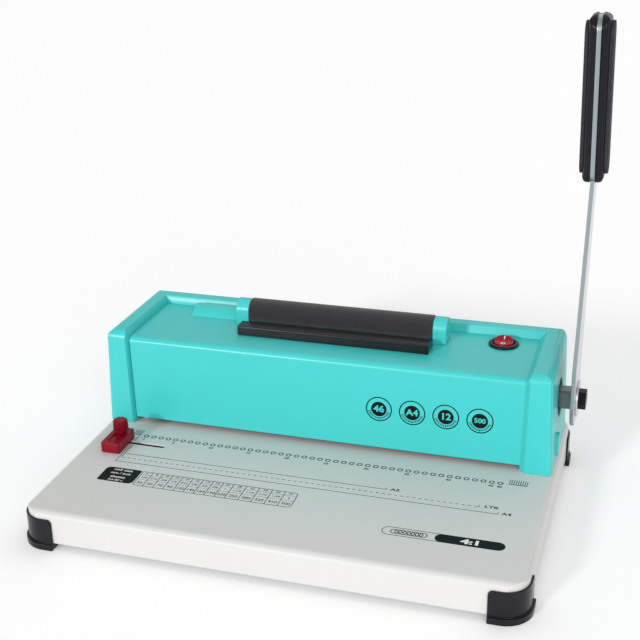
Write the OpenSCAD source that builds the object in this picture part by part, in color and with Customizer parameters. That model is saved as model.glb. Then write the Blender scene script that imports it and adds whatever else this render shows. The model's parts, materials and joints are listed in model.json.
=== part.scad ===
// Desk coil binding machine: a lever punch for a row of round holes, with a
// motor-driven foam roller on top that winds plastic coils into the sheets.
// Millimetres, +Z up, the operator stands on the -Y side, feet on Z = 0.

/* [Base] */
// Width of the base tray
base_w = 366; // [350:1:390]
// Depth of the base tray
base_d = 248; // [236:1:266]
// Height of the tray walls
base_wall_h = 25; // [24:0.5:32]
// Thickness of the tray sheet
base_sheet = 1.5; // [1:0.1:2]
// Radius of the tray's plan corners
base_corner_r = 17; // [10:0.5:20]
// Radius of the tray's bent top edge
base_edge_r = 5; // [3:0.5:7]
// Thickness of the foot pads under the tray
foot_h = 5; // [4:0.5:8]
// Length of a foot along the front
foot_len_x = 28.5; // [26:0.5:40]
// Length of a foot along the side
foot_len_y = 30; // [26:0.5:40]
// Height of the foot's wrapped corner wall
foot_wall_h = 19.5; // [12:0.5:21]
// Thickness of the foot's corner wall
foot_wall_t = 1.6; // [1.2:0.1:3]
// Reach of the foot flange beyond the tray
foot_flange = 3.3; // [2.2:0.1:5]

/* [Housing] */
// Distance from each side of the tray to the housing
body_side_gap = 2.5; // [2:0.1:6]
// Depth of the housing
body_d = 98; // [96:1:102]
// Height of the housing over the tray
body_h = 81; // [79:1:88]
// Lean of each housing side from bottom to top
body_draft = 3; // [2:0.5:5]
// Distance from the tray's rear edge to the housing
body_rear_gap = 3; // [1:0.1:5]
// Width of an end cap at the bottom
cap_w = 20.5; // [19:0.5:22]
// Lean of an end cap's inner side from bottom to top
cap_slant = 1.6; // [0.5:0.1:3]
// Width of the raised rear rim at the panel
rim_w = 16; // [15:0.5:17]
// Run of the sloped flanks from the rim and end caps down to the top panel
rim_flank = 3; // [1:0.5:4]
// Run of the sloped flanks from the end caps back to the front panel
cap_flank = 2; // [1:0.5:3]
// Wall of the housing shell
shell_wall = 2.5; // [2:0.1:3]
// Set-back of the front panel behind the end caps
panel_front_set = 3.5; // [2:0.5:5]
// Drop of the top panel below the end caps
panel_top_set = 6; // [5:0.5:7]
// Sheet thickness of the folded front cover
cover_sheet = 1.5; // [1:0.1:2]
// Bend radius at the cover's top front edge
cover_bend_r = 8; // [5:0.5:10]
// Diameter of the hole for the lever shaft in the end cap
shaft_hole_d = 30; // [26:0.5:32]

/* [Punch] */
// Distance between neighbouring holes
hole_pitch = 6.35; // [6:0.01:6.37]
// Diameter of a punch pin
pin_d = 4; // [3:0.1:4.5]
// Height of the paper throat
throat_h = 4.3; // [4.2:0.1:5]
// Thickness of the die plate
die_t = 6; // [5:0.5:6.5]
// Thickness of the pin guide plate
guide_t = 6; // [5:0.5:7]
// Downward travel of the punch pins
punch_stroke = 7; // [6:0.5:8]
// Height of the pressure bar
bar_h = 10; // [9:0.5:11]
// Depth of the pressure bar
bar_d = 16; // [12:0.5:18]
// Distance from the hole centres to the sheet's back stop
stop_dist = 4.5; // [4:0.1:6]

/* [Lever] */
// Swing of the lever from rest to fully forward
lever_swing = 78; // [60:1:85]
// Distance of the shaft behind the housing front
shaft_back = 49; // [47:0.5:51]
// Height of the shaft over the tray
shaft_up = 43.5; // [42:0.5:45]
// Diameter of the round part of the shaft
shaft_d = 16; // [14:0.5:17]
// Side of the square shaft end
shaft_square = 15; // [13:0.5:16]
// Broken edges of the square part of the shaft
shaft_chamfer = 2.4; // [0.5:0.1:3]
// Visible gap between end cap foot and lever
lever_gap = 7; // [6.5:0.5:12]
// Thickness of the lever bar
lever_t = 3.2; // [2.4:0.1:5]
// Radius of the lever's hub end
lever_hub_r = 21; // [18:0.5:24]
// Width of the lever bar at the grip
lever_bar_w = 22; // [18:0.5:24]
// Distance from the shaft to the lower end of the grip
grip_start = 173; // [150:1:190]
// Length of the grip
grip_len = 116; // [100:1:140]
// Depth of the grip from front to back
grip_d = 28; // [26:0.5:34]
// Thickness of one grip scale
grip_scale_t = 6; // [5.5:0.5:10]
// Outward lean of the lever below the grip, degrees
lever_splay = 1.1; // [0:0.1:2]
// Inward lean of the grip, degrees
grip_toe_in = 1.2; // [0:0.1:4]
// Diameter of the lever bolt's washer
washer_d = 28; // [24:0.5:34]
// Size across the flats of the lever bolt
bolt_flats = 14.2; // [13:0.1:17]

/* [Coil roller] */
// Length of the foam roller
roller_len = 152.4; // [140:0.2:156]
// Diameter of the foam roller
roller_d = 19; // [17:0.5:20]
// Diameter of the roller's core tube
core_d = 10; // [9:0.5:12]
// Diameter of the roller's shaft ends
roller_shaft_d = 6; // [5:0.5:6.5]
// Distance of the roller axis from the rear rim
roller_to_rim = 20.3; // [18:0.1:22]
// Gap between the foam roller and the top panel
roller_lift = 0.6; // [0.4:0.1:2]
// Width of a roller block
block_w = 11; // [10:0.5:12]
// Radius of a roller block's rounded top
block_r = 9.4; // [9.2:0.1:10]
// Depth of the coil guide bar's foot
bar_foot_d = 18.2; // [15:0.1:19]
// Height of the coil guide bar
coil_bar_h = 8; // [6:0.5:10]
// Diameter of the gear motor
motor_d = 24; // [20:0.5:24]
// Length of the gear motor
motor_len = 38; // [30:1:42]
// Diameter of the two belt pulleys
pulley_d = 12; // [10:0.5:12.5]

/* [Controls] */
// Distance from the right end cap to the switch
switch_to_cap = 29.3; // [22:0.1:50]
// Diameter of the switch bezel
bezel_d = 23.7; // [22.5:0.1:26]
// Tilt of the rocker between off and on, degrees
rocker_swing = 20; // [12:1:22]
// Width of the edge guide block
guide_w = 16; // [13:0.5:20]
// Depth of the edge guide block
guide_d = 29.2; // [24:0.1:34]
// Height of the edge guide block
guide_h = 8.5; // [6:0.5:12]
// Diameter of the edge guide knob
knob_d = 12.2; // [9:0.1:14]
// Height of the edge guide knob
knob_h = 11.2; // [8:0.1:14]
// Diameter of the clamping stud
stud_d = 3.5; // [3:0.1:3.6]
// Width of the edge guide slot
slot_w = 3.9; // [3.8:0.1:5]
// Travel of the edge guide to the right
guide_travel = 32; // [20:1:36]
// Distance from the right end cap to the power inlet
inlet_to_cap = 50; // [40:1:70]

/* [Hidden] */
$fn = 48;

// Fits
slip = 0.05;
play = 0.2;
clear = 0.3;
past = 1;

// Heights and planes of the housing
body_w = base_w - 2 * body_side_gap;
base_top = foot_h + base_wall_h;
body_top = base_top + body_h;
body_back = base_d / 2 - body_rear_gap;
body_front = body_back - body_d;
panel_y = body_front + panel_front_set;
panel_z = body_top - panel_top_set;
cap_in = body_w / 2 - cap_w;
rim_y = body_back - rim_w;
body_lean = atan(body_draft / body_h);
shell_edge_r = 5;
shell_rear_r = 9;
shell_front_r = 3.5;
// The upright corner arcs sit this far outside the faces, so they cross them cleanly.
arc_out = 0.02;

// Lever shaft and the punch stack below it
shaft_y = body_front + shaft_back;
shaft_z = base_top + shaft_up;
plate_set = 6;
plate_in = cap_in - plate_set;
plate_t = 4;
plate_out = plate_in + plate_t;
throat_top = base_top + throat_h;
guide_top = throat_top + guide_t;
bar_rest_gap = 0.5;
bar_bottom = guide_top + punch_stroke + bar_rest_gap;
bar_top = bar_bottom + bar_h;
pin_lift = 0.8;
pin_seat = 6;
die_fore = 15;
die_aft = 17;
die_set = 6;
die_rim = 2.5;
die_front = shaft_y - die_fore;
die_back = shaft_y + die_aft;
die_half = plate_in - die_set;
// As many holes as the die takes between its end rims
hole_count = floor((2 * (die_half - die_rim) - pin_d) / hole_pitch) + 1;
die_bottom = base_top - die_t;
die_land = 3.5;
post_x = plate_in - 4.6;
post_d = 4;
spring_d = 6;
spring_wire = 0.7;
spring_turns = 7;
spring_pocket = 8;
nose_r = 4;
pitch_r = shaft_z - bar_top;
cam_base_r = pitch_r - nose_r - clear;
cam_rise = punch_stroke / lever_swing;
cam_overrun = 8;
cam_w = 10;
cam_x = 50;
cam_hub_w = 14;
cam_hub_r = shaft_d / 2 + 3;
bush_wall = 3;
tie_d = 8;
tie_fore = 20;
tie_aft = 7;
tie_front = [body_front + tie_fore, base_top + 0.69 * shaft_up];
tie_rear = [rim_y - tie_aft, shaft_z + 2.5];
plate_edge = 8;
plate_rear = 2;
plate_drop = 4;

// Lever and grip
lever_x = body_w / 2 + lever_gap;
shaft_end = 12;
lever_bend = lever_hub_r + 10;
grip_z = shaft_z + grip_start;
lever_top = grip_z + grip_len;
splay_x = (grip_start - lever_bend) * tan(lever_splay);
toe_x = grip_len * tan(grip_toe_in);
washer_t = 1.6;
bolt_head_h = 5.6;
bolt_d = 10;
bolt_depth = 20;
clip_t = 1;
clip_x = -plate_out - 0.3;
pad_w = 20;
pad_margin = 5;
pad_sink = 1;
pad_proud = 2.2;
grip_screw_d = 4;
grip_screw_head = 2.2;
grip_screw_seat = 2;
right_reach = lever_x + lever_t / 2 + splay_x - pad_margin * sin(grip_toe_in)
    + (lever_t / 2 + grip_scale_t + pad_proud) * cos(grip_toe_in);
left_reach = base_w / 2 + foot_flange;
middle_x = (right_reach - left_reach) / 2;

// Roller drive on the top panel
roller_y = rim_y - roller_to_rim;
roller_z = panel_z + roller_d / 2 + roller_lift;
block_in = roller_len / 2 + clear;
block_out = block_in + block_w;
block_wall = 1.5;
bush_w = 3;
bush_d = roller_shaft_d + 3;
blister_wall = 2;
blister_r = motor_d / 2 + blister_wall + 0.5;
motor_y = rim_y - motor_d / 2 - cover_sheet - 0.7;
motor_z = panel_z + 5.3 - blister_r;
motor_x = -(block_out + 2.5);
motor_shaft_d = 5;
belt_t = 1.2;
belt_w = 4;
pulley_w = 5;
pulley_x = -(block_in + bush_w + 0.4 + pulley_w / 2);
bracket_t = 2;
ear_reach = 26;
ear_w = 13;
coil_bar_top_d = 12;
coil_bar_to_roller = 31.7;
coil_bar_y = roller_y - coil_bar_to_roller;

// Switch
switch_to_rim = 16.6;
switch_x = cap_in - switch_to_cap;
switch_y = rim_y - switch_to_rim;
switch_hole = bezel_d - 3.7;
bezel_h = 2.2;
rocker_r = switch_hole / 2 - 2;
rocker_cup_r = rocker_r + 0.9;
rocker_pin_d = 2.5;
rocker_pivot = panel_z + 0.6;
switch_depth = 20;

// Power inlet
inlet_up = 24;
inlet_x = cap_in - inlet_to_cap;
inlet_z = base_top + inlet_up;
inlet_size = [27, 20];
inlet_flange = [31, 24];
inlet_socket = [24, 16.5];
inlet_depth = 19;
inlet_flange_t = 2;

// Edge guide on the tray, left of the sheets
guide_set = 24;
slot_fore = 32.3;
guide_fore = 21.2;
guide_x = guide_set - body_w / 2;
slot_y = body_front - slot_fore;
guide_front = slot_y - guide_fore;
guide_slack = 3;
bolt_head_w = 12;
bolt_head_t = 2.5;
bolt_rise = 5;

// Waste bin under the die
bin_half = die_half;
bin_front = die_front - 8;
bin_wall = 1.5;
bin_floor = foot_h + base_sheet + 1.5 + 0.1;
bin_top = die_bottom - 2.4;
fascia_t = 2;
fascia_side = 4;
runner_in = 8;
runner_lip = 3;
runner_h = 6;

module rounded_corner(previous, corner, next, r) {
    a = (previous - corner) / norm(previous - corner);
    b = (next - corner) / norm(next - corner);
    half = acos(a * b) / 2;
    mid = (a + b) / norm(a + b);
    center = corner + mid * r / sin(half);
    reach = 1.05;
    difference() {
        polygon([for (p = [center, corner + a * r / tan(half), corner, corner + b * r / tan(half)])
            center + reach * (p - center)]);
        translate(center) circle(r);
    }
}

// A polygon whose convex corners are rounded with true arcs.
module rounded_polygon(points, radii) {
    n = len(points);
    difference() {
        polygon(points);
        for (i = [0 : n - 1])
            if (radii[i] > 0)
                rounded_corner(points[(i + n - 1) % n], points[i], points[(i + 1) % n], radii[i]);
    }
}

function rectangle(a, b) = [[a[0], b[0]], [a[1], b[0]], [a[1], b[1]], [a[0], b[1]]];

module rounded_rectangle(a, b, r) {
    rounded_polygon(rectangle(a, b), [r, r, r, r]);
}

// Extrude a (y, z) outline along X.
module along_x(x0, x1) {
    translate([x0, 0, 0]) rotate([90, 0, 90]) linear_extrude(x1 - x0) children();
}

// Extrude an (x, z) outline along Y.
module along_y(y0, y1) {
    translate([0, y1, 0]) rotate([90, 0, 0]) linear_extrude(y1 - y0) children();
}

module along_z(z0, z1) {
    translate([0, 0, z0]) linear_extrude(z1 - z0) children();
}

module box(x, y, z) {
    translate([x[0], y[0], z[0]]) cube([x[1] - x[0], y[1] - y[0], z[1] - z[0]]);
}

module rod_x(d, x, y, z) {
    translate([x[0], y, z]) rotate([0, 90, 0]) cylinder(d = d, h = x[1] - x[0]);
}

module rod_y(d, x, y, z) {
    translate([x, y[0], z]) rotate([-90, 0, 0]) cylinder(d = d, h = y[1] - y[0]);
}

module rod_z(d, x, y, z) {
    translate([x, y, z[0]]) cylinder(d = d, h = z[1] - z[0]);
}

module both_sides() {
    children();
    mirror([1, 0, 0]) children();
}

// A screw standing on its head, the shank pointing up.
module screw_up(head_d, head_h, d, x, y, z, length) {
    rod_z(head_d, x, y, [z - head_h, z]);
    rod_z(d, x, y, [z - 0.01, z + length]);
}

// Base tray, bottom plate and feet

foot_screw_x = base_w / 2 - 14;
foot_screw_y = base_d / 2 - 14;
foot_screw_d = 4;
foot_gap = 0.1;
housing_screw_x = body_w / 2 - 9;
housing_screw_front = body_front + 19;
housing_screw_rear = body_back - 15;
housing_screw_d = 4;
housing_boss_h = 22;
plate_screw_x = plate_in + plate_t / 2;
plate_screw_y = [shaft_y - 9, shaft_y + 11];
plate_screw_d = 2.5;

module tray_block(inset, z0) {
    w = base_w / 2 - inset;
    d = base_d / 2 - inset;
    top = base_top - inset;
    edge = base_edge_r - inset;
    intersection() {
        along_z(z0, top) rounded_rectangle([-w, w], [-d, d], base_corner_r - inset);
        along_y(-d, d) rounded_polygon(rectangle([-w, w], [z0, top]), [0, 0, edge, edge]);
        along_x(-w, w) rounded_polygon(rectangle([-d, d], [z0, top]), [0, 0, edge, edge]);
    }
}

module housing_screw_holes(d, z) {
    both_sides() {
        rod_z(d, housing_screw_x, housing_screw_front, z);
        rod_z(d, housing_screw_x, housing_screw_rear, z);
    }
}

module plate_screw_holes(d, z) {
    both_sides()
        for (y = plate_screw_y)
            rod_z(d, plate_screw_x, y, z);
}

module guide_slot() {
    x0 = guide_x - guide_slack;
    x1 = guide_x + guide_travel + guide_slack;
    z = [base_top - base_sheet - past, base_top + past];
    box([x0, x1], [slot_y - slot_w / 2, slot_y + slot_w / 2], z);
    rod_z(slot_w, x0, slot_y, z);
    rod_z(slot_w, x1, slot_y, z);
}

module base_tray() color("gainsboro") difference() {
    tray_block(0, foot_h);
    tray_block(base_sheet, foot_h - past);
    box([-die_half - play, die_half + play], [die_front - play, die_back + play],
        [base_top - base_sheet - past, base_top + past]);
    guide_slot();
    housing_screw_holes(housing_screw_d + play, [base_top - base_sheet - past, base_top + past]);
    plate_screw_holes(plate_screw_d + play, [base_top - base_sheet - past, base_top + past]);
    box([-bin_half - clear, bin_half + clear], [base_d / 2 - base_edge_r, base_d / 2 + past],
        [bin_floor - clear, bin_top + clear]);
}

module base_bottom_plate() color("silver") difference() {
    w = base_w / 2 - base_sheet - play;
    d = base_d / 2 - base_sheet - play;
    along_z(foot_h, foot_h + base_sheet)
        rounded_rectangle([-w, w], [-d, d], base_corner_r - base_sheet);
    for (x = [-1, 1], y = [-1, 1])
        rod_z(foot_screw_d + play, x * foot_screw_x, y * foot_screw_y, [foot_h - past, foot_h + base_sheet + past]);
}

// Foot at the rear right corner: a pad with a flange, and a wall wrapped round the tray.
module foot() {
    reach = [base_w / 2 + foot_flange, base_d / 2 + foot_flange];
    wall = [base_w / 2 + foot_wall_t, base_d / 2 + foot_wall_t];
    gap = [base_w / 2 + foot_gap, base_d / 2 + foot_gap];
    start = [reach[0] - foot_len_x, reach[1] - foot_len_y];
    wall_top = foot_h + foot_wall_h;
    wall_r = 3.5;
    pad_r = 1;
    difference() {
        union() {
            along_z(0, foot_h)
                rounded_polygon([start, [reach[0], start[1]], reach, [start[0], reach[1]]],
                    [pad_r, pad_r, base_corner_r + foot_flange, pad_r]);
            along_z(foot_h - past, wall_top)
                rounded_polygon([start, [wall[0], start[1]], wall, [start[0], wall[1]]],
                    [0, 0, base_corner_r + foot_wall_t, 0]);
        }
        along_z(foot_h, wall_top + past)
            rounded_polygon([start - [past, past], [gap[0], start[1] - past], gap, [start[0] - past, gap[1]]],
                [0, 0, base_corner_r + foot_gap, 0]);
        along_y(base_d / 2, reach[1])
            rounded_corner([start[0], 0], [start[0], wall_top], [reach[0], wall_top], wall_r);
        along_x(base_w / 2, reach[0])
            rounded_corner([start[1], 0], [start[1], wall_top], [reach[1], wall_top], wall_r);
        rod_z(foot_screw_d + play, foot_screw_x, foot_screw_y, [-past, foot_h + past]);
        rod_z(foot_screw_d * 2 + play, foot_screw_x, foot_screw_y, [-past, foot_h - 2]);
    }
}

module foot_front_left() color("#1c1c1e") mirror([1, 0, 0]) mirror([0, 1, 0]) foot();
module foot_front_right() color("#1c1c1e") mirror([0, 1, 0]) foot();
module foot_rear_left() color("#1c1c1e") mirror([1, 0, 0]) foot();
module foot_rear_right() color("#1c1c1e") foot();

module foot_screws() color("dimgray") {
    for (x = [-1, 1], y = [-1, 1])
        screw_up(foot_screw_d * 2 - play, 2.4, foot_screw_d, x * foot_screw_x, y * foot_screw_y, foot_h - 2, 7);
}

// Waste bin and its runners

module bin_runners() color("silver") both_sides() {
    floor_z = foot_h + base_sheet;
    back = base_d / 2 - base_sheet - play;
    box([bin_half - runner_in, bin_half + runner_lip], [bin_front, back], [floor_z, bin_floor - 0.1]);
    box([bin_half + clear, bin_half + runner_lip], [bin_front, back], [bin_floor - 0.11, bin_floor + runner_h]);
}

module waste_bin() color("#26262a") difference() {
    back = base_d / 2 + play;
    notch_r = 22;
    union() {
        box([-bin_half, bin_half], [bin_front, back], [bin_floor, bin_top]);
        along_y(back, back + fascia_t)
            rounded_rectangle([-bin_half - fascia_side, bin_half + fascia_side], [bin_floor - 1.2, bin_top + 3], 3);
    }
    box([-bin_half + bin_wall, bin_half - bin_wall], [bin_front + bin_wall, back - bin_wall],
        [bin_floor + bin_wall, bin_top + past]);
    rod_y(notch_r * 2, 0, [back - bin_wall - past, back + fascia_t + past], bin_top + notch_r - 6);
}

// Edge guide

module edge_guide_block() color("#a8121f") difference() {
    x = [guide_x - guide_w / 2, guide_x + guide_w / 2];
    y = [guide_front, guide_front + guide_d];
    z = [base_top, base_top + guide_h];
    intersection() {
        along_z(z[0], z[1]) rounded_rectangle(x, y, 2);
        along_y(y[0], y[1]) rounded_polygon(rectangle(x, z), [0, 0, 1, 1]);
        along_x(x[0], x[1]) rounded_polygon(rectangle(y, z), [0, 0, 1, 1]);
    }
    rod_z(stud_d + play, guide_x, slot_y, [z[0] - past, z[1] + past]);
}

// A flat-headed bolt that slides in the tray's slot and carries the clamp knob.
module edge_guide_bolt() color("silver") {
    top = base_top - base_sheet - 0.1;
    box([guide_x - bolt_head_w / 2, guide_x + bolt_head_w / 2],
        [slot_y - bolt_head_w / 2, slot_y + bolt_head_w / 2], [top - bolt_head_t, top]);
    rod_z(stud_d, guide_x, slot_y, [top - past, base_top + guide_h + bolt_rise]);
}

module edge_guide_knob() color("#a8121f") {
    bottom = base_top + guide_h + 0.1;
    collar_h = 2.2;
    flutes = 18;
    flute_d = 1.4;
    crown = 0.8;
    difference() {
        union() {
            rod_z(knob_d - 3, guide_x, slot_y, [bottom, bottom + collar_h + 0.01]);
            translate([guide_x, slot_y, bottom + collar_h]) {
                cylinder(d = knob_d, h = knob_h - collar_h - crown);
                translate([0, 0, knob_h - collar_h - crown])
                    cylinder(d1 = knob_d, d2 = knob_d - 2 * crown, h = crown);
            }
        }
        rod_z(stud_d + 2 * slip, guide_x, slot_y, [bottom - past, base_top + guide_h + bolt_rise + slip]);
        for (i = [0 : flutes - 1])
            translate([guide_x, slot_y, bottom + collar_h + crown]) rotate(i * 360 / flutes)
                translate([knob_d / 2 + flute_d * 0.2, 0, 0]) cylinder(d = flute_d, h = knob_h);
    }
}

// Housing shell and front cover

module body_block(inset, z0) {
    w = body_w / 2 - inset;
    front = body_front + inset;
    back = body_back - inset;
    top = body_top - inset;
    draft = (top - z0) * tan(body_lean);
    low_w = w + (base_top - z0) * tan(body_lean);
    edge = shell_edge_r - inset;
    difference() {
        intersection() {
            along_y(front, back)
                rounded_polygon([[-low_w, z0], [low_w, z0], [low_w - draft, top], [draft - low_w, top]],
                    [0, 0, edge, edge]);
            along_x(-low_w, low_w)
                rounded_polygon(rectangle([front, back], [z0, top]), [0, 0, edge, cover_bend_r - inset]);
        }
        both_sides() translate([low_w, 0, z0]) rotate([0, -body_lean, 0]) translate([0, 0, -past])
            linear_extrude(body_h + 4 * past) {
                rounded_corner([-body_w, back + arc_out], [arc_out, back + arc_out], [arc_out, front],
                    shell_rear_r - inset);
                rounded_corner([arc_out, back], [arc_out, front - arc_out], [-body_w, front - arc_out],
                    shell_front_r - inset);
            }
    }
}

module inlet_opening() {
    box([inlet_x - inlet_size[0] / 2 - play, inlet_x + inlet_size[0] / 2 + play],
        [body_back - shell_wall - past, body_back + past],
        [inlet_z - inlet_size[1] / 2 - play, inlet_z + inlet_size[1] / 2 + play]);
}

module housing_bosses() {
    for (y = [housing_screw_front, housing_screw_rear]) {
        rod_z(housing_screw_d + 5, housing_screw_x, y, [base_top, base_top + housing_boss_h]);
        box([housing_screw_x, body_w / 2 - shell_wall / 2 - body_draft / 2], [y - 1.5, y + 1.5],
            [base_top, base_top + housing_boss_h]);
    }
}

// Half width between the end caps at a height over the tray.
function opening_half(z) = cap_in + cap_slant * (z - base_top) / (panel_z - base_top);

module opening_outline(z0, z1, gap) {
    polygon([[gap - opening_half(z0), z0], [opening_half(z0) - gap, z0],
        [opening_half(z1) - gap, z1], [gap - opening_half(z1), z1]]);
}

// The room between the end caps, with flanks that widen to the front and to the top.
module panel_opening() {
    reach = 1 + past / panel_top_set;
    top_half = opening_half(panel_z);
    flare = reach * rim_flank;
    front_flare = (1 + past / panel_front_set) * cap_flank;
    along_y(body_front - past, rim_y) opening_outline(base_top - past, body_top + past, 0);
    intersection() {
        along_y(body_front - past, rim_y + flare)
            polygon([[-top_half, panel_z], [top_half, panel_z],
                [top_half + flare, body_top + past], [-top_half - flare, body_top + past]]);
        along_x(-body_w, body_w)
            polygon([[body_front - past, panel_z], [rim_y, panel_z],
                [rim_y + flare, body_top + past], [body_front - past, body_top + past]]);
    }
    both_sides() translate([cap_in, 0, base_top]) rotate([0, atan(cap_slant / (panel_z - base_top)), 0])
        translate([0, 0, -past]) linear_extrude(body_h + 3 * past)
            polygon([[-past, panel_y], [0, panel_y], [front_flare, body_front - past], [-past, body_front - past]]);
}

module housing_shell() color("#46c6c2") {
    cap_inner_wall = shell_wall + cap_slant + rim_flank;
    rim_inner = rim_y + shell_wall + rim_flank;
    side_tab_y = body_front + 22;
    side_tab_z = base_top + 4;
    side_tab = [12, 19];
    difference() {
        union() {
            difference() {
                body_block(0, base_top);
                panel_opening();
                both_sides() intersection() {
                    body_block(shell_wall, base_top - past);
                    box([cap_in + cap_inner_wall, body_w], [body_front, body_back],
                        [base_top - 2 * past, body_top]);
                }
                along_x(-cap_in, cap_in)
                    polygon([[rim_y - past, base_top - past], [body_back - shell_wall, base_top - past],
                        [body_back - shell_wall, body_top - shell_wall], [rim_inner, body_top - shell_wall],
                        [rim_inner, panel_z - 8], [rim_y - past, panel_z - 8]]);
            }
            both_sides() housing_bosses();
            along_x(body_w / 2 - shell_wall - 1, body_w / 2 + 1.8)
                rounded_rectangle([side_tab_y, side_tab_y + side_tab[0]], [side_tab_z, side_tab_z + side_tab[1]],
                    side_tab[0] / 2 - 0.1);
        }
        rod_x(shaft_hole_d, [cap_in - past, body_w / 2 + past], shaft_y, shaft_z);
        inlet_opening();
        housing_screw_holes(housing_screw_d + 2 * slip, [base_top - past, base_top + 15]);
    }
}

module housing_screws() color("dimgray") both_sides() {
    for (y = [housing_screw_front, housing_screw_rear])
        screw_up(8, 3, housing_screw_d, housing_screw_x, y, base_top - base_sheet, 14);
}

cover_tab_h = 20;
cover_tab_front = [panel_y + cover_bend_r + 1, panel_y + 24];
cover_tab_rear = [rim_y - 14, rim_y - cover_sheet - play];
cover_screw_z = panel_z - 15;
cover_screw_y = [panel_y + 15, rim_y - 9];
cover_screw_d = 3;

module cover_fold() {
    slot_z = throat_top;
    back = rim_y - play;
    difference() {
        rounded_polygon(rectangle([panel_y, back], [slot_z, panel_z]), [0, 0, cover_sheet, cover_bend_r]);
        rounded_polygon(rectangle([panel_y + cover_sheet, back - cover_sheet],
            [slot_z - past, panel_z - cover_sheet]), [0, 0, 0, cover_bend_r - cover_sheet]);
        translate([panel_y + cover_sheet + past, slot_z - past])
            square([body_d, panel_z - 12 - slot_z + past]);
    }
}

module front_cover() color("#46c6c2") difference() {
    half = opening_half(panel_z);
    tab_x = [plate_in - play - cover_sheet, plate_in - play];
    union() {
        intersection() {
            along_x(-half, half) cover_fold();
            along_y(panel_y, rim_y) opening_outline(base_top, panel_z, play);
        }
        rod_x(2 * blister_r, [motor_x - motor_len - blister_wall, motor_x], motor_y, motor_z);
        both_sides()
            for (y = [cover_tab_front, cover_tab_rear])
                box(tab_x, y, [panel_z - cover_tab_h, panel_z - cover_sheet / 2]);
    }
    difference() {
        rod_x(2 * (blister_r - blister_wall), [motor_x - motor_len, motor_x + past], motor_y, motor_z);
        box([motor_x - motor_len, motor_x + 2 * past], [rim_y - play - cover_sheet, body_back], [0, body_top]);
    }
    difference() {
        rod_x(2 * blister_r + past, [motor_x - motor_len - blister_wall - past, motor_x + past], motor_y, motor_z);
        box([-body_w, body_w], [panel_y, rim_y - play], [panel_z - cover_sheet, 2 * body_top]);
        box([-body_w, body_w], [rim_y - play - cover_sheet, rim_y - play], [panel_z - 12, 2 * body_top]);
    }
    box([pulley_x - pulley_w / 2 - clear, pulley_x + pulley_w / 2 + clear],
        [roller_y - pulley_d / 2 - 2 * belt_t, roller_y + pulley_d / 2 + 2 * belt_t],
        [panel_z - 2 * cover_sheet, panel_z + past]);
    rod_z(switch_hole, switch_x, switch_y, [panel_z - 2 * cover_sheet, panel_z + past]);
    both_sides()
        for (y = cover_screw_y)
            rod_x(cover_screw_d - 0.4, [plate_in - 4, plate_in + past], y, cover_screw_z);
}

module cover_screws() color("dimgray") both_sides() {
    for (y = cover_screw_y) {
        rod_x(5.5, [plate_out, plate_out + 1.6], y, cover_screw_z);
        rod_x(cover_screw_d - 0.5, [plate_in - 6, plate_out + 0.01], y, cover_screw_z);
    }
}

// Coil roller on the top panel

module coil_guide_bar() color("#242428") along_x(-roller_len / 2 - 2, roller_len / 2 + 2)
    rounded_polygon([[coil_bar_y, panel_z], [coil_bar_y + bar_foot_d, panel_z],
        [coil_bar_y + coil_bar_top_d, panel_z + coil_bar_h], [coil_bar_y, panel_z + coil_bar_h]],
        [0, 0, 1.5, 1]);

module block_outline(r, z0) {
    translate([roller_y, roller_z]) circle(r);
    translate([roller_y - r, z0]) square([2 * r, roller_z - z0]);
}

module left_roller_block() color("#46c6c2") difference() {
    along_x(-block_out, -block_in) block_outline(block_r, panel_z);
    along_x(-block_out + block_wall, -block_in - bush_w) block_outline(block_r - block_wall, panel_z - past);
    rod_x(bush_d, [-block_in - bush_w - past, -block_in + past], roller_y, roller_z);
}

module right_roller_block() color("#46c6c2") difference() {
    along_x(block_in, block_out) block_outline(block_r, panel_z);
    rod_x(bush_d, [block_in - past, block_in + 8], roller_y, roller_z);
}

module roller_bushes() color("#b98d4f") {
    difference() {
        union() {
            rod_x(bush_d - 2 * slip, [-block_in - bush_w, -block_in], roller_y, roller_z);
            rod_x(bush_d - 2 * slip, [block_in, block_in + 8], roller_y, roller_z);
        }
        rod_x(roller_shaft_d + 2 * slip, [-block_out, block_out], roller_y, roller_z);
    }
}

module roller_core() color("silver") {
    rod_x(core_d, [-roller_len / 2, roller_len / 2], roller_y, roller_z);
    rod_x(roller_shaft_d, [pulley_x - pulley_w / 2, block_in + 7.5], roller_y, roller_z);
}

module foam_sleeve() color("#2b2b30") difference() {
    rod_x(roller_d, [-roller_len / 2, roller_len / 2], roller_y, roller_z);
    rod_x(core_d + 2 * slip, [-roller_len, roller_len], roller_y, roller_z);
}

module pulley(bore, y, z) {
    difference() {
        rod_x(pulley_d, [pulley_x - pulley_w / 2, pulley_x + pulley_w / 2], y, z);
        rod_x(bore + 2 * slip, [pulley_x - pulley_w, pulley_x + pulley_w], y, z);
    }
}

module roller_pulley() color("#3a3a3e") pulley(roller_shaft_d, roller_y, roller_z);
module motor_pulley() color("#3a3a3e") pulley(motor_shaft_d, roller_y, motor_z);

module belt_loop(r) {
    translate([roller_y, roller_z]) circle(r);
    translate([roller_y, motor_z]) circle(r);
    translate([roller_y - r, motor_z]) square([2 * r, roller_z - motor_z]);
}

module drive_belt() color("#202022") difference() {
    along_x(pulley_x - belt_w / 2, pulley_x + belt_w / 2) belt_loop(pulley_d / 2 + clear + belt_t);
    along_x(pulley_x - belt_w, pulley_x + belt_w) belt_loop(pulley_d / 2 + clear);
}

module drive_motor() color("silver") difference() {
    union() {
        rod_x(motor_d, [motor_x - motor_len, motor_x], motor_y, motor_z);
        rod_x(motor_shaft_d + 4, [motor_x - past, motor_x + bracket_t], roller_y, motor_z);
    }
    rod_x(motor_shaft_d + 2 * slip, [motor_x - 8, motor_x + bracket_t + past], roller_y, motor_z);
}

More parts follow.
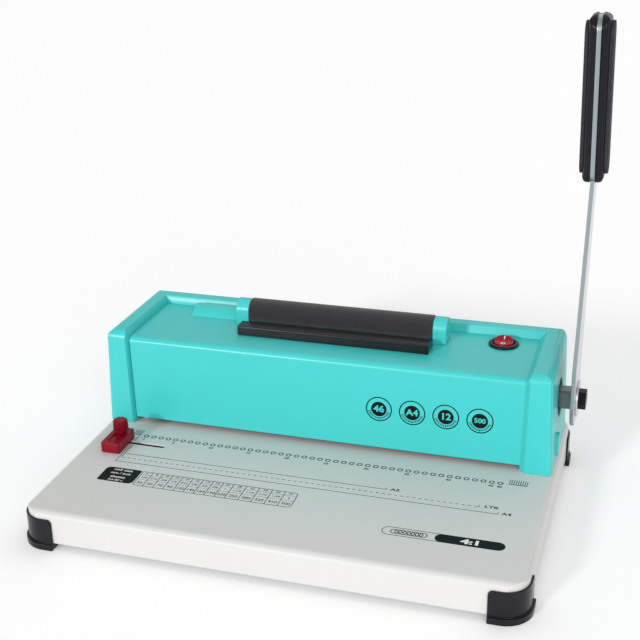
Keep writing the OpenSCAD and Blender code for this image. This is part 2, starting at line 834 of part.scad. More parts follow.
module motor_bracket() color("gainsboro") difference() {
    top = panel_z - cover_sheet;
    ear = [roller_y - ear_reach, roller_y - pulley_d / 2 - 3 * belt_t];
    union() {
        box([motor_x, motor_x + bracket_t], [ear[0], motor_y + motor_d / 2 - 1], [motor_z - motor_d / 2, top]);
        box([motor_x, motor_x + ear_w], ear, [top - bracket_t, top]);
    }
    rod_x(motor_shaft_d + 4 + 2 * slip, [motor_x - past, motor_x + bracket_t + past], roller_y, motor_z);
}

module motor_shaft() color("silver")
    rod_x(motor_shaft_d, [motor_x - 7, pulley_x + pulley_w / 2], roller_y, motor_z);

// Switch and power inlet

module switch_body() color("#18181a") difference() {
    bottom = panel_z - switch_depth;
    union() {
        rod_z(bezel_d, switch_x, switch_y, [panel_z, panel_z + bezel_h * 0.6]);
        translate([switch_x, switch_y, panel_z + bezel_h * 0.6])
            cylinder(d1 = bezel_d, d2 = bezel_d - 2.4, h = bezel_h * 0.4);
        rod_z(switch_hole - 2 * play, switch_x, switch_y, [bottom, panel_z + 0.01]);
        for (x = [-4, 4])
            box([switch_x + x - 0.4, switch_x + x + 0.4], [switch_y + 1, switch_y + 7], [bottom - 6, bottom + 0.01]);
    }
    rod_z(2 * rocker_cup_r, switch_x, switch_y, [panel_z - 8, panel_z + bezel_h + past]);
    rod_x(rocker_pin_d + 2 * slip, [switch_x - rocker_cup_r - 1.2, switch_x + rocker_cup_r + 1.2],
        switch_y, rocker_pivot);
}

module rocker_button() color("#b5101c") translate([switch_x, switch_y, rocker_pivot]) rotate([rocker_swing / 2, 0, 0]) {
    dish = 1.6;
    crest = 5.2;
    intersection() {
        translate([0, 0, -3]) cylinder(r = rocker_r, h = crest + 4);
        along_x(-rocker_r, rocker_r)
            polygon([[-rocker_r, -2.5], [-3, -3], [3, -3], [rocker_r, -2.5], [rocker_r, crest - dish / 2],
                [rocker_r * 0.6, crest - dish / 2], [0, crest - dish], [-rocker_r * 0.6, crest - dish / 2],
                [-rocker_r, crest - dish / 2]]);
    }
    rod_x(rocker_pin_d, [-rocker_cup_r - 1, rocker_cup_r + 1], 0, 0);
}

module inlet_outline(size, cut) {
    x = [inlet_x - size[0] / 2, inlet_x + size[0] / 2];
    z = [inlet_z - size[1] / 2, inlet_z + size[1] / 2];
    polygon([[x[0], z[0]], [x[1], z[0]], [x[1], z[1] - cut], [x[1] - cut, z[1]], [x[0] + cut, z[1]],
        [x[0], z[1] - cut]]);
}

module power_inlet() color("#18181a") difference() {
    face = body_back + inlet_flange_t;
    union() {
        along_y(body_back, face) rounded_rectangle([inlet_x - inlet_flange[0] / 2, inlet_x + inlet_flange[0] / 2],
            [inlet_z - inlet_flange[1] / 2, inlet_z + inlet_flange[1] / 2], 2);
        along_y(face - inlet_depth - 2, body_back + 0.01) inlet_outline(inlet_size, 0.01);
    }
    along_y(face - inlet_depth, face + past) inlet_outline(inlet_socket, 4);
    inlet_blade_set(slip, face - inlet_depth - 3);
}

module inlet_blade_set(grow, y0) {
    face = body_back + inlet_flange_t;
    for (p = [[-7, -2], [7, -2], [0, 2.5]])
        box([inlet_x + p[0] - 1 - grow, inlet_x + p[0] + 1 + grow], [y0, face - 4],
            [inlet_z + p[1] - 2 - grow, inlet_z + p[1] + 2 + grow]);
}

module inlet_blades() color("#c9b26a") inlet_blade_set(0, body_back + inlet_flange_t - inlet_depth - 8);

// Frame of the punch

module side_plate() {
    difference() {
        along_x(plate_in, plate_out)
            rounded_polygon(rectangle([panel_y + plate_edge, rim_y - plate_rear], [base_top, panel_z - plate_drop]),
                [0, 0, 6, 12]);
        rod_x(shaft_d + 2 * bush_wall, [plate_in - past, plate_out + past], shaft_y, shaft_z);
        for (y = cover_screw_y)
            rod_x(cover_screw_d + play, [plate_in - past, plate_out + past], y, cover_screw_z);
        for (p = [tie_front, tie_rear])
            rod_x(tie_d - 2, [plate_in - past, plate_out + past], p[0], p[1]);
        for (y = plate_screw_y)
            rod_z(plate_screw_d + 2 * slip, plate_screw_x, y, [base_top - past, base_top + 9]);
    }
}

module left_side_plate() color("lightgray") mirror([1, 0, 0]) side_plate();
module right_side_plate() color("lightgray") side_plate();

module plate_screws() color("dimgray") both_sides() {
    for (y = plate_screw_y)
        screw_up(5, 2, plate_screw_d, plate_screw_x, y, die_bottom, base_top - die_bottom + 8);
}

module tie_rods() color("silver") {
    for (p = [tie_front, tie_rear]) {
        rod_x(tie_d, [-plate_in, plate_in], p[0], p[1]);
        rod_x(tie_d - 2 - 2 * slip, [-plate_out, plate_out], p[0], p[1]);
    }
}

function hole_x(i) = (i - (hole_count - 1) / 2) * hole_pitch;

module hole_row(d, z) {
    for (i = [0 : hole_count - 1])
        rod_z(d, hole_x(i), shaft_y, z);
}

die_screw_in = 48;
die_screw_x = [die_screw_in - die_half, 0, die_half - die_screw_in];
die_screw_y = die_back - 5;
die_screw_d = 4;

module die_screw_holes(d, z) {
    for (x = die_screw_x)
        rod_z(d, x, die_screw_y, z);
}

module die_plate() color("silver") difference() {
    flange_top = base_top - base_sheet;
    union() {
        box([-die_half, die_half], [die_front, die_back], [die_bottom, base_top]);
        box([-plate_out - 3, plate_out + 3], [die_front, die_back], [die_bottom, flange_top]);
    }
    hole_row(pin_d + 2 * slip, [base_top - die_land, base_top + past]);
    hole_row(pin_d + 1, [die_bottom - past, base_top - die_land]);
    plate_screw_holes(plate_screw_d + play, [die_bottom - past, base_top + past]);
    die_screw_holes(die_screw_d + 2 * slip, [die_bottom + 1, base_top + past]);
}

module back_stop() color("silver") difference() {
    box([-die_half, die_half], [shaft_y + stop_dist, die_back], [base_top, throat_top]);
    die_screw_holes(die_screw_d + play, [base_top - past, throat_top + past]);
}

module guide_plate() color("silver") difference() {
    box([-plate_in, plate_in], [die_front + 2, die_back], [throat_top, guide_top]);
    hole_row(pin_d + 2 * slip, [throat_top - past, guide_top + past]);
    die_screw_holes(die_screw_d + play, [throat_top - past, guide_top + past]);
    both_sides() rod_z(post_d + 2 * slip, post_x, shaft_y, [throat_top - past, guide_top + past]);
}

module die_screws() color("dimgray") {
    for (x = die_screw_x) {
        rod_z(die_screw_d, x, die_screw_y, [die_bottom + 1.5, guide_top + 0.01]);
        rod_z(die_screw_d + 3, x, die_screw_y, [guide_top, guide_top + 2.5]);
    }
}

module guide_posts() color("silver") both_sides()
    rod_z(post_d, post_x, shaft_y, [throat_top, bar_top]);

// Points of a helical wire, ring after ring, and the closed skin over them.
module coil(mean_r, wire_r, z0, z1, turns) {
    sides = 6;
    per_turn = 10;
    rings = turns * per_turn;
    rise = z1 - z0 - 2 * wire_r;
    points = [for (i = [0 : rings], s = [0 : sides - 1])
        let (a = 360 * i / per_turn, b = 360 * s / sides, r = mean_r + wire_r * cos(b))
        [r * cos(a), r * sin(a), z0 + wire_r + rise * i / rings + wire_r * sin(b)]];
    skin = [for (i = [0 : rings - 1], s = [0 : sides - 1], half = [0, 1])
        let (a = i * sides + s, b = i * sides + (s + 1) % sides)
        half == 0 ? [a, b, b + sides] : [a, b + sides, a + sides]];
    first = [for (s = [1 : sides - 2]) [0, s + 1, s]];
    last = [for (s = [1 : sides - 2]) [rings * sides, rings * sides + s, rings * sides + s + 1]];
    polyhedron(concat(points), concat(skin, first, last));
}

module return_springs() color("silver") both_sides() translate([post_x, shaft_y, 0])
    coil((spring_d - spring_wire) / 2, spring_wire / 2, guide_top + slip, bar_bottom + spring_pocket - slip,
        spring_turns);

// Punch carriage

module pressure_bar() color("lightgray") difference() {
    half = plate_in - 0.6;
    box([-half, half], [shaft_y - bar_d / 2, shaft_y + bar_d / 2], [bar_bottom, bar_top]);
    hole_row(pin_d + 2 * slip, [bar_bottom - past, bar_bottom + pin_seat]);
    both_sides() {
        rod_z(post_d + 2 * slip, post_x, shaft_y, [bar_bottom - past, bar_top + past]);
        rod_z(spring_d + 2 * clear, post_x, shaft_y, [bar_bottom - past, bar_bottom + spring_pocket]);
    }
}

module punch_pins() color("silver") hole_row(pin_d, [throat_top + pin_lift, bar_bottom + pin_seat]);

module follower_pads() color("silver") both_sides() intersection() {
    rod_x(2 * nose_r, [cam_x - cam_w / 2, cam_x + cam_w / 2 - 0.5], shaft_y, bar_top);
    box([0, body_w], [body_front, body_back], [bar_top, bar_top + 2 * nose_r]);
}

// Lever, shaft and cams

// Section of the square part of the shaft, with broken edges.
module shaft_section() {
    h = shaft_square / 2;
    k = h - shaft_chamfer;
    polygon([[h, k], [k, h], [-k, h], [-h, k], [-h, -k], [-k, -h], [k, -h], [h, -k]]);
}

module lever_shaft() color("#8d9094") difference() {
    union() {
        rod_x(shaft_d, [clip_x - clip_t - 0.4, plate_out + 0.5], shaft_y, shaft_z);
        along_x(plate_out + clear, lever_x) translate([shaft_y, shaft_z]) shaft_section();
        box([lever_x - past, lever_x + lever_t], [shaft_y - shaft_end / 2, shaft_y + shaft_end / 2],
            [shaft_z - shaft_end / 2, shaft_z + shaft_end / 2]);
    }
    difference() {
        rod_x(shaft_d + past, [clip_x - clip_t - slip, clip_x + slip], shaft_y, shaft_z);
        rod_x(shaft_d - 2, [clip_x - 2 * clip_t, clip_x + clip_t], shaft_y, shaft_z);
    }
    rod_x(bolt_d + 2 * slip, [lever_x + lever_t - bolt_depth - past, lever_x + lever_t + past], shaft_y, shaft_z);
    both_sides() rod_z(cam_pin_d + 2 * slip, cam_pin_x, shaft_y, [shaft_z - shaft_d, shaft_z + shaft_d]);
}

module shaft_bushes() color("#b98d4f") both_sides() difference() {
    union() {
        rod_x(shaft_d + 2 * bush_wall - 2 * slip, [plate_in - 2, plate_out], shaft_y, shaft_z);
        rod_x(shaft_d + 2 * bush_wall + 4, [plate_in - 2, plate_in], shaft_y, shaft_z);
    }
    rod_x(shaft_d + 2 * slip, [plate_in - 3, plate_out + past], shaft_y, shaft_z);
}

module shaft_clip() color("dimgray") difference() {
    rod_x(shaft_d + 5, [clip_x - clip_t, clip_x], shaft_y, shaft_z);
    rod_x(shaft_d - 2 + 2 * slip, [clip_x - 2 * clip_t, clip_x + clip_t], shaft_y, shaft_z);
    box([clip_x - 2 * clip_t, clip_x + clip_t], [shaft_y - shaft_d * 0.32, shaft_y + shaft_d * 0.32],
        [shaft_z - shaft_d, shaft_z]);
}

cam_pin_d = 4;
cam_pin_x = cam_x + cam_w / 2 + cam_hub_w / 2;

// Point of the cam that meets the follower nose after the lever has turned by t degrees:
// the nose centre's path is a spiral, and the cam lies one nose radius inside it.
function cam_point(t) =
    let (
        r = pitch_r + cam_rise * t,
        slope = cam_rise * 180 / PI,
        out = [-sin(t), -cos(t)],
        ahead = [-cos(t), sin(t)],
        normal = (r * out - slope * ahead) / norm([r, slope])
    )
    r * out - (nose_r + clear) * normal;

module cam_outline() {
    step = 3;
    last = lever_swing + cam_overrun;
    circle(cam_base_r);
    polygon(concat([[0, 0], [0, -cam_base_r]], [for (t = [0 : step : last]) cam_point(t)]));
}

module cam() {
    difference() {
        union() {
            translate([0, shaft_y, shaft_z]) along_x(cam_x - cam_w / 2, cam_x + cam_w / 2) cam_outline();
            rod_x(2 * cam_hub_r, [cam_x + cam_w / 2 - 0.01, cam_x + cam_w / 2 + cam_hub_w], shaft_y, shaft_z);
        }
        rod_x(shaft_d + 2 * slip, [cam_x - cam_w, cam_x + cam_w + cam_hub_w], shaft_y, shaft_z);
        rod_z(cam_pin_d + 2 * slip, cam_pin_x, shaft_y, [shaft_z - 2 * cam_hub_r, shaft_z + 2 * cam_hub_r]);
    }
}

module left_cam() color("#7d8085") mirror([1, 0, 0]) cam();
module right_cam() color("#7d8085") cam();

module cam_pins() color("silver") both_sides()
    rod_z(cam_pin_d, cam_pin_x, shaft_y, [shaft_z - cam_hub_r, shaft_z + cam_hub_r]);

// Outline of the lever bar seen from the side: a round hub and a tapering arm with cut corners.
module lever_outline() {
    tip = lever_bar_w / 2 - 1;
    tip_z = lever_top - 3;
    tip_cut = 6;
    side = [[lever_hub_r * 0.99, shaft_z + lever_hub_r * 0.14], [lever_bar_w / 2, grip_z],
        [tip, tip_z - tip_cut], [tip - tip_cut, tip_z]];
    translate([shaft_y, shaft_z]) circle(lever_hub_r);
    translate([shaft_y, 0])
        polygon(concat(side, [for (i = [3 : -1 : 0]) [-side[i][0], side[i][1]]]));
}

// Edge of the lever bar seen from the front: upright hub, splayed arm, grip leaning back in.
module lever_edge() {
    path = [[0, shaft_z - 2 * lever_hub_r], [0, shaft_z + lever_bend], [splay_x, grip_z], [splay_x - toe_x, lever_top]];
    translate([lever_x, 0])
        polygon(concat(path, [for (i = [3 : -1 : 0]) path[i] + [lever_t, 0]]));
}

module grip_place() {
    translate([lever_x + lever_t / 2 + splay_x, shaft_y, grip_z]) rotate([0, -grip_toe_in, 0]) children();
}

grip_screw_z = [24, grip_len - 24];

module lever_arm() color("#c4c7cb") difference() {
    intersection() {
        along_x(lever_x - 20, lever_x + 20) lever_outline();
        along_y(shaft_y - 2 * lever_hub_r, shaft_y + 2 * lever_hub_r) lever_edge();
    }
    box([lever_x - past, lever_x + lever_t + past],
        [shaft_y - shaft_end / 2 - slip, shaft_y + shaft_end / 2 + slip],
        [shaft_z - shaft_end / 2 - slip, shaft_z + shaft_end / 2 + slip]);
    grip_place()
        for (z = grip_screw_z)
            rod_x(grip_screw_d + 2 * slip, [-lever_t, lever_t], 0, z);
}

module grip_scale() {
    x = [lever_t / 2, lever_t / 2 + grip_scale_t];
    y = [-grip_d / 2, grip_d / 2];
    z = [0, grip_len];
    intersection() {
        along_x(x[0], x[1]) rounded_polygon(rectangle(y, z), [6, 6, 11, 11]);
        along_z(z[0], z[1]) rounded_polygon(rectangle(x, y), [0, 6, 6, 0]);
        along_y(y[0], y[1]) rounded_polygon(rectangle(x, z), [0, 5, 6, 0]);
    }
}

module grip_pad_outline(grow) {
    rounded_rectangle([-pad_w / 2 - grow, pad_w / 2 + grow], [pad_margin - grow, grip_len - pad_margin + grow],
        pad_w / 2 - 1);
}

module grip_pad_recess() {
    top = lever_t / 2 + grip_scale_t;
    along_x(top - pad_sink, top + past) grip_pad_outline(slip);
}

module grip_inner() color("#1d1d20") grip_place() difference() {
    mirror([1, 0, 0]) grip_scale();
    mirror([1, 0, 0]) grip_pad_recess();
    for (z = grip_screw_z) {
        rod_x(grip_screw_d + 2 * slip, [-lever_t - grip_scale_t, past], 0, z);
        rod_x(grip_screw_d + 4, [-lever_t - grip_scale_t, -lever_t / 2 - grip_screw_seat], 0, z);
    }
}

module grip_outer() color("#1d1d20") grip_place() difference() {
    grip_scale();
    grip_pad_recess();
    for (z = grip_screw_z)
        rod_x(grip_screw_d + 2 * slip, [-past, lever_t / 2 + 4], 0, z);
}

module grip_pads() color("#2a2a2e") grip_place() both_sides() {
    top = lever_t / 2 + grip_scale_t;
    along_x(top - pad_sink, top + pad_proud) grip_pad_outline(0);
}

module grip_screws() color("dimgray") grip_place()
    for (z = grip_screw_z) {
        rod_x(grip_screw_d, [-lever_t / 2 - grip_screw_seat - 0.01, lever_t / 2 + 3.7], 0, z);
        rod_x(grip_screw_d + 3.5, [-lever_t / 2 - grip_screw_seat - grip_screw_head, -lever_t / 2 - grip_screw_seat],
            0, z);
    }

module lever_washer() color("#b9bcc0") difference() {
    rod_x(washer_d, [lever_x + lever_t, lever_x + lever_t + washer_t], shaft_y, shaft_z);
    rod_x(bolt_d + 2 * slip, [lever_x, lever_x + lever_t + washer_t + past], shaft_y, shaft_z);
}

module lever_bolt() color("#1b1b1d") {
    seat = lever_x + lever_t + washer_t;
    translate([seat, shaft_y, shaft_z]) rotate([0, 90, 0]) rotate(30)
        cylinder(d = bolt_flats / cos(30), h = bolt_head_h, $fn = 6);
    rod_x(bolt_d, [lever_x + lever_t - bolt_depth, seat + 0.01], shaft_y, shaft_z);
}

// The machine is drawn about its own middle plane and then moved so that the
// lever counts in the overall width: the origin is under the middle of the outline.
module placed() {
    translate([-middle_x, 0, 0]) children();
}

placed() base_tray();
placed() base_bottom_plate();
placed() foot_front_left();
placed() foot_front_right();
placed() foot_rear_left();
placed() foot_rear_right();
placed() foot_screws();
placed() bin_runners();
placed() waste_bin();
placed() edge_guide_block();
placed() edge_guide_bolt();
placed() edge_guide_knob();
placed() housing_shell();
placed() housing_screws();
placed() front_cover();
placed() cover_screws();
placed() coil_guide_bar();
placed() left_roller_block();
placed() right_roller_block();
placed() roller_bushes();
placed() roller_core();
placed() foam_sleeve();
placed() roller_pulley();
placed() drive_belt();
placed() drive_motor();
placed() motor_bracket();
placed() motor_shaft();
placed() motor_pulley();
placed() switch_body();
placed() rocker_button();
placed() power_inlet();
placed() inlet_blades();
placed() left_side_plate();
placed() right_side_plate();
placed() plate_screws();
placed() tie_rods();
placed() die_plate();
placed() back_stop();
placed() guide_plate();
placed() die_screws();
placed() guide_posts();
placed() return_springs();
placed() pressure_bar();
placed() punch_pins();
placed() follower_pads();
placed() lever_shaft();
placed() shaft_bushes();
placed() shaft_clip();
placed() left_cam();
placed() right_cam();
placed() cam_pins();
placed() lever_arm();
placed() grip_inner();
placed() grip_outer();
placed() grip_pads();
placed() grip_screws();
placed() lever_washer();
placed() lever_bolt();
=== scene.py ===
"""Visible pieces of a desk coil binding machine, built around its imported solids."""
import json
import math

import bmesh
import bpy
from bpy.props import FloatProperty, FloatVectorProperty, IntProperty, PointerProperty
from bpy.types import Operator, Panel, PropertyGroup
from mathutils import Matrix, Vector, geometry, noise
from mathutils.bvhtree import BVHTree


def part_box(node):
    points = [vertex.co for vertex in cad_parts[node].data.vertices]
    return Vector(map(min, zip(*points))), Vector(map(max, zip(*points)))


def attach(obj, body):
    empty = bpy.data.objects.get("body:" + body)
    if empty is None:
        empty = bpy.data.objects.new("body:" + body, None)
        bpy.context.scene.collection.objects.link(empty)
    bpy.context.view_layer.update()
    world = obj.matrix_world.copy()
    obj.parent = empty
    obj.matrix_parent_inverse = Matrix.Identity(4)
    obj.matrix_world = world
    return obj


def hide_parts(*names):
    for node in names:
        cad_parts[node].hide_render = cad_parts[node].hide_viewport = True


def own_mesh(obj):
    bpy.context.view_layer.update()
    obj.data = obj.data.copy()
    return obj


bl_info = {
    "name": "Coil binding machine",
    "version": (1, 0, 0),
    "blender": (4, 5, 0),
    "location": "View3D > Sidebar > Binder",
    "description": "Builds the visible pieces of a desk coil binding machine around its solids",
    "category": "Object",
}

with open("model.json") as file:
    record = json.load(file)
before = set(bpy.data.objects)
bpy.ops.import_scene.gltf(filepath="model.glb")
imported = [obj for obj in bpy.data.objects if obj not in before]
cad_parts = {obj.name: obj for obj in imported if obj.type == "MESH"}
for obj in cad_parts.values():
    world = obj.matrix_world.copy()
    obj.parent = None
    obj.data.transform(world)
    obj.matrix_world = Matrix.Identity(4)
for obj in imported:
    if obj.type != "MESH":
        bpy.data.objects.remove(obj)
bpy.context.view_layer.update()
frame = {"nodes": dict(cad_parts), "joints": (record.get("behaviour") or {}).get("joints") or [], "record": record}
BODY_OF = {node: body for body, nodes in frame["record"]["behaviour"]["bodies"].items() for node in nodes}
MM = 0.001
TRAY_LOW, TRAY_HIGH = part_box("base_tray")
COVER_LOW, COVER_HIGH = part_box("front_cover")
TRAY_MIDDLE = (TRAY_LOW + TRAY_HIGH) / 2
# The prints are laid out in millimetres from the left edge of the sheet and the row of holes.
SHEET_X = TRAY_MIDDLE.x / MM - 147.0
HOLE_ROW_Y = TRAY_MIDDLE.y / MM + 3.7
# A print starts a little below its face.
SUNK = -0.02
FROM_MM = Matrix.Scale(MM, 4)


def joint(name):
    """The frame's entry for a joint."""
    return next(entry for entry in frame["joints"] if entry["name"] == name)


def underside(node):
    """The middle of the underside of a solid's box."""
    low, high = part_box(node)
    return (low.x + high.x) / 2, (low.y + high.y) / 2, low.z


# Properties

class BinderFinishes(PropertyGroup):
    """Colours of the machine's finishes."""

    housing: FloatVectorProperty(
        name="Housing", description="Paint of the housing, cover and roller blocks",
        subtype="COLOR", min=0, max=1, default=(0.05, 0.56, 0.545))
    base: FloatVectorProperty(
        name="Base", description="Textured paint of the base tray",
        subtype="COLOR", min=0, max=1, default=(0.64, 0.635, 0.62))
    plastic: FloatVectorProperty(
        name="Black plastic", description="Feet, switch, bin and grip scales",
        subtype="COLOR", min=0, max=1, default=(0.0085, 0.0085, 0.0105))
    guide: FloatVectorProperty(
        name="Edge guide", description="Red plastic of the edge guide and its knob",
        subtype="COLOR", min=0, max=1, default=(0.22, 0.0022, 0.013))
    lens: FloatVectorProperty(
        name="Rocker", description="Red lens of the rocker button",
        subtype="COLOR", min=0, max=1, default=(0.31, 0.0016, 0.015))
    foam: FloatVectorProperty(
        name="Foam", description="Charcoal foam of the coil roller",
        subtype="COLOR", min=0, max=1, default=(0.0165, 0.0155, 0.0185))
    ink: FloatVectorProperty(
        name="Ink", description="Dark printing ink",
        subtype="COLOR", min=0, max=1, default=(0.006, 0.007, 0.007))


class BinderSizes(PropertyGroup):
    """Sizes of the pieces that only the visible model has."""

    edge_round: FloatProperty(
        name="Edge rounding", description="Rounding of folded and moulded edges",
        default=0.45 * MM, min=0.0, unit="LENGTH")
    ink_height: FloatProperty(
        name="Ink height", description="How far a print stands above its face",
        default=0.04 * MM, min=0.0, unit="LENGTH")
    hole_pitch: FloatProperty(
        name="Hole pitch", description="Distance between neighbouring hole marks",
        default=6.35 * MM, min=0.001, unit="LENGTH")
    hole_count: IntProperty(
        name="Hole marks", description="Number of hole marks and punch pins", default=46, min=2)
    flute_count: IntProperty(
        name="Knob flutes", description="Number of grooves round the clamp knob", default=18, min=6)
    flute_depth: FloatProperty(
        name="Flute depth", description="Depth of a groove in the clamp knob",
        default=1.0 * MM, min=0.0, unit="LENGTH")
    foam_round: FloatProperty(
        name="Foam edge", description="Rounding of the foam roller's cut ends",
        default=0.9 * MM, min=0.0, unit="LENGTH")
    camera_lens: FloatProperty(
        name="Lens", description="Focal length on a 36 mm wide sensor", default=67.99, min=1.0)


# Materials

class Finish:
    """A node material in the making, patterned in object coordinates."""

    def __init__(self, name, metallic=0.0, specular=0.5):
        self.material = bpy.data.materials.new(name)
        self.material.use_nodes = True
        self.tree = self.material.node_tree
        self.shader = self.tree.nodes["Principled BSDF"]
        self.shader.inputs["Metallic"].default_value = metallic
        self.shader.inputs["Specular IOR Level"].default_value = specular
        self.coords = self.tree.nodes.new("ShaderNodeTexCoord").outputs["Object"]

    def add(self, kind, source=None, **values):
        """A new node with its values set and its first input linked."""
        node = self.tree.nodes.new(kind)
        for name, value in values.items():
            node.inputs[name.replace("_", " ")].default_value = value
        if source is not None:
            self.tree.links.new(source, node.inputs[0])
        return node

    def stretch(self, scale):
        """Stretches the coordinates that later patterns read."""
        mapping = self.add("ShaderNodeMapping", self.coords)
        mapping.inputs["Scale"].default_value = scale
        self.coords = mapping.outputs[0]

    def noise(self, scale, detail=3.0):
        """A cloudy pattern."""
        return self.add("ShaderNodeTexNoise", self.coords, Scale=scale, Detail=detail).outputs["Fac"]

    def cells(self, scale):
        """A pattern of small cells."""
        return self.add("ShaderNodeTexVoronoi", self.coords, Scale=scale).outputs["Distance"]

    def spread(self, factor, low, high, start=0.3, end=0.7):
        """A pattern spread over another range."""
        node = self.add("ShaderNodeMapRange", factor, From_Min=start, From_Max=end, To_Min=low, To_Max=high)
        return node.outputs[0]

    def blend(self, factor, second):
        """Mixes a second colour into the base colour by a pattern; gives the first one's socket."""
        mix = self.tree.nodes.new("ShaderNodeMix")
        mix.data_type = "RGBA"
        self.tree.links.new(factor, mix.inputs["Factor"])
        mix.inputs[7].default_value = (*second, 1.0)
        self.tree.links.new(mix.outputs[2], self.shader.inputs["Base Color"])
        return mix.inputs[6]

    def colour(self, factor, first, second):
        """Mixes two colours by a pattern."""
        self.blend(factor, second).default_value = (*first, 1.0)

    def mask(self, attribute, colour):
        """Lays a second colour where the mesh's own attribute is 1."""
        source = self.tree.nodes.new("ShaderNodeAttribute")
        source.attribute_name = attribute
        first = self.shader.inputs["Base Color"].links[0].from_socket
        self.tree.links.new(first, self.blend(source.outputs["Fac"], colour))

    def rough(self, factor, low, high):
        """Varies the roughness by a pattern."""
        self.tree.links.new(self.spread(factor, low, high), self.shader.inputs["Roughness"])

    def relief(self, height, distance, strength=1.0):
        """Raises the surface by a pattern."""
        bump = self.tree.nodes.new("ShaderNodeBump")
        bump.inputs["Distance"].default_value = distance
        bump.inputs["Strength"].default_value = strength
        self.tree.links.new(height, bump.inputs["Height"])
        self.tree.links.new(bump.outputs[0], self.shader.inputs["Normal"])


def shade(colour, factor):
    """A colour made darker or lighter."""
    return tuple(min(1.0, channel * factor) for channel in colour)


def painted(name, colour, drift, grain, rough, depth, specular=0.5):
    """Sprayed paint: slow colour drift, an orange-peel grain and an uneven gloss."""
    made = Finish(name, specular=specular)
    peel = made.noise(grain, 4.0)
    clouds = made.spread(made.noise(9.0, 2.0), 0.0, 1.0)
    made.colour(clouds, shade(colour, 1.0 - drift), shade(colour, 1.0 + drift))
    made.rough(peel, *rough)
    made.relief(peel, depth)
    return made.material


def moulded(name, colour, grain, rough, depth, specular=0.3):
    """Moulded plastic: a fine eroded texture and faint flow marks."""
    made = Finish(name, specular=specular)
    skin = made.noise(grain, 5.0)
    made.colour(made.spread(made.noise(45.0, 2.0), 0.0, 1.0), shade(colour, 0.88), shade(colour, 1.14))
    made.rough(skin, *rough)
    made.relief(skin, depth)
    return made.material


def metal(name, colour, rough, stretch, grain, depth, drift=0.1, cut=None):
    """Worked metal: fine lines along the way it was brushed, ground or drawn, and painted shade: a darker colour
    on the faces that the mesh marks, for edges that catch less light.
    """
    made = Finish(name, metallic=1.0)
    made.stretch(stretch)
    lines = made.noise(grain, 6.0)
    made.colour(made.spread(lines, 0.0, 1.0), shade(colour, 1.0 - drift), shade(colour, 1.0 + drift))
    made.rough(lines, *rough)
    made.relief(lines, depth)
    # Painted shade: the marked edge faces get the darker colour, standing in for the duller light they reflect.
    if cut:
        made.mask("cut_edge", cut)
    return made.material


def foam_finish(colour):
    """Closed-cell foam: open pores in a dull charcoal skin."""
    made = Finish("roller_foam", specular=0.25)
    pores = made.cells(1500.0)
    skin = made.noise(420.0, 5.0)
    # Painted shade: the pores are coloured darker than the skin between them, as shade in their hollows.
    made.colour(made.spread(pores, 0.0, 1.0, 0.1, 0.6), shade(colour, 0.55), shade(colour, 1.35))
    made.rough(skin, 0.82, 0.97)
    made.relief(pores, 0.12 * MM, 0.8)
    made.shader.inputs["Sheen Weight"].default_value = 0.25
    made.shader.inputs["Sheen Roughness"].default_value = 0.6
    return made.material


def lens_finish(colour):
    """Clear red lens with a ribbed back that shows as fine stripes."""
    made = Finish("red_rocker", specular=0.2)
    ribs = made.tree.nodes.new("ShaderNodeTexWave")
    ribs.inputs["Scale"].default_value = 210.0
    ribs.inputs["Distortion"].default_value = 0.4
    made.tree.links.new(made.coords, ribs.inputs[0])
    made.colour(ribs.outputs["Fac"], shade(colour, 0.62), shade(colour, 1.2))
    made.rough(made.noise(900.0), 0.08, 0.16)
    made.shader.inputs["Subsurface Weight"].default_value = 0.08
    made.shader.inputs["Subsurface Radius"].default_value = (0.004, 0.0005, 0.0005)
    return made.material


def knurled_finish(colour):
    """Soft grip rubber with a fine crossed knurl."""
    made = Finish("grip_rubber", specular=0.3)
    knurl = made.cells(900.0)
    # Painted highlight: the raised knurl is coloured much lighter than the hollows between its ridges.
    made.colour(made.spread(knurl, 0.0, 1.0, 0.1, 0.6), shade(colour, 0.7), shade(colour, 3.2))
    made.rough(made.noise(500.0), 0.6, 0.8)
    made.relief(knurl, 0.25 * MM, 0.9)
    return made.material


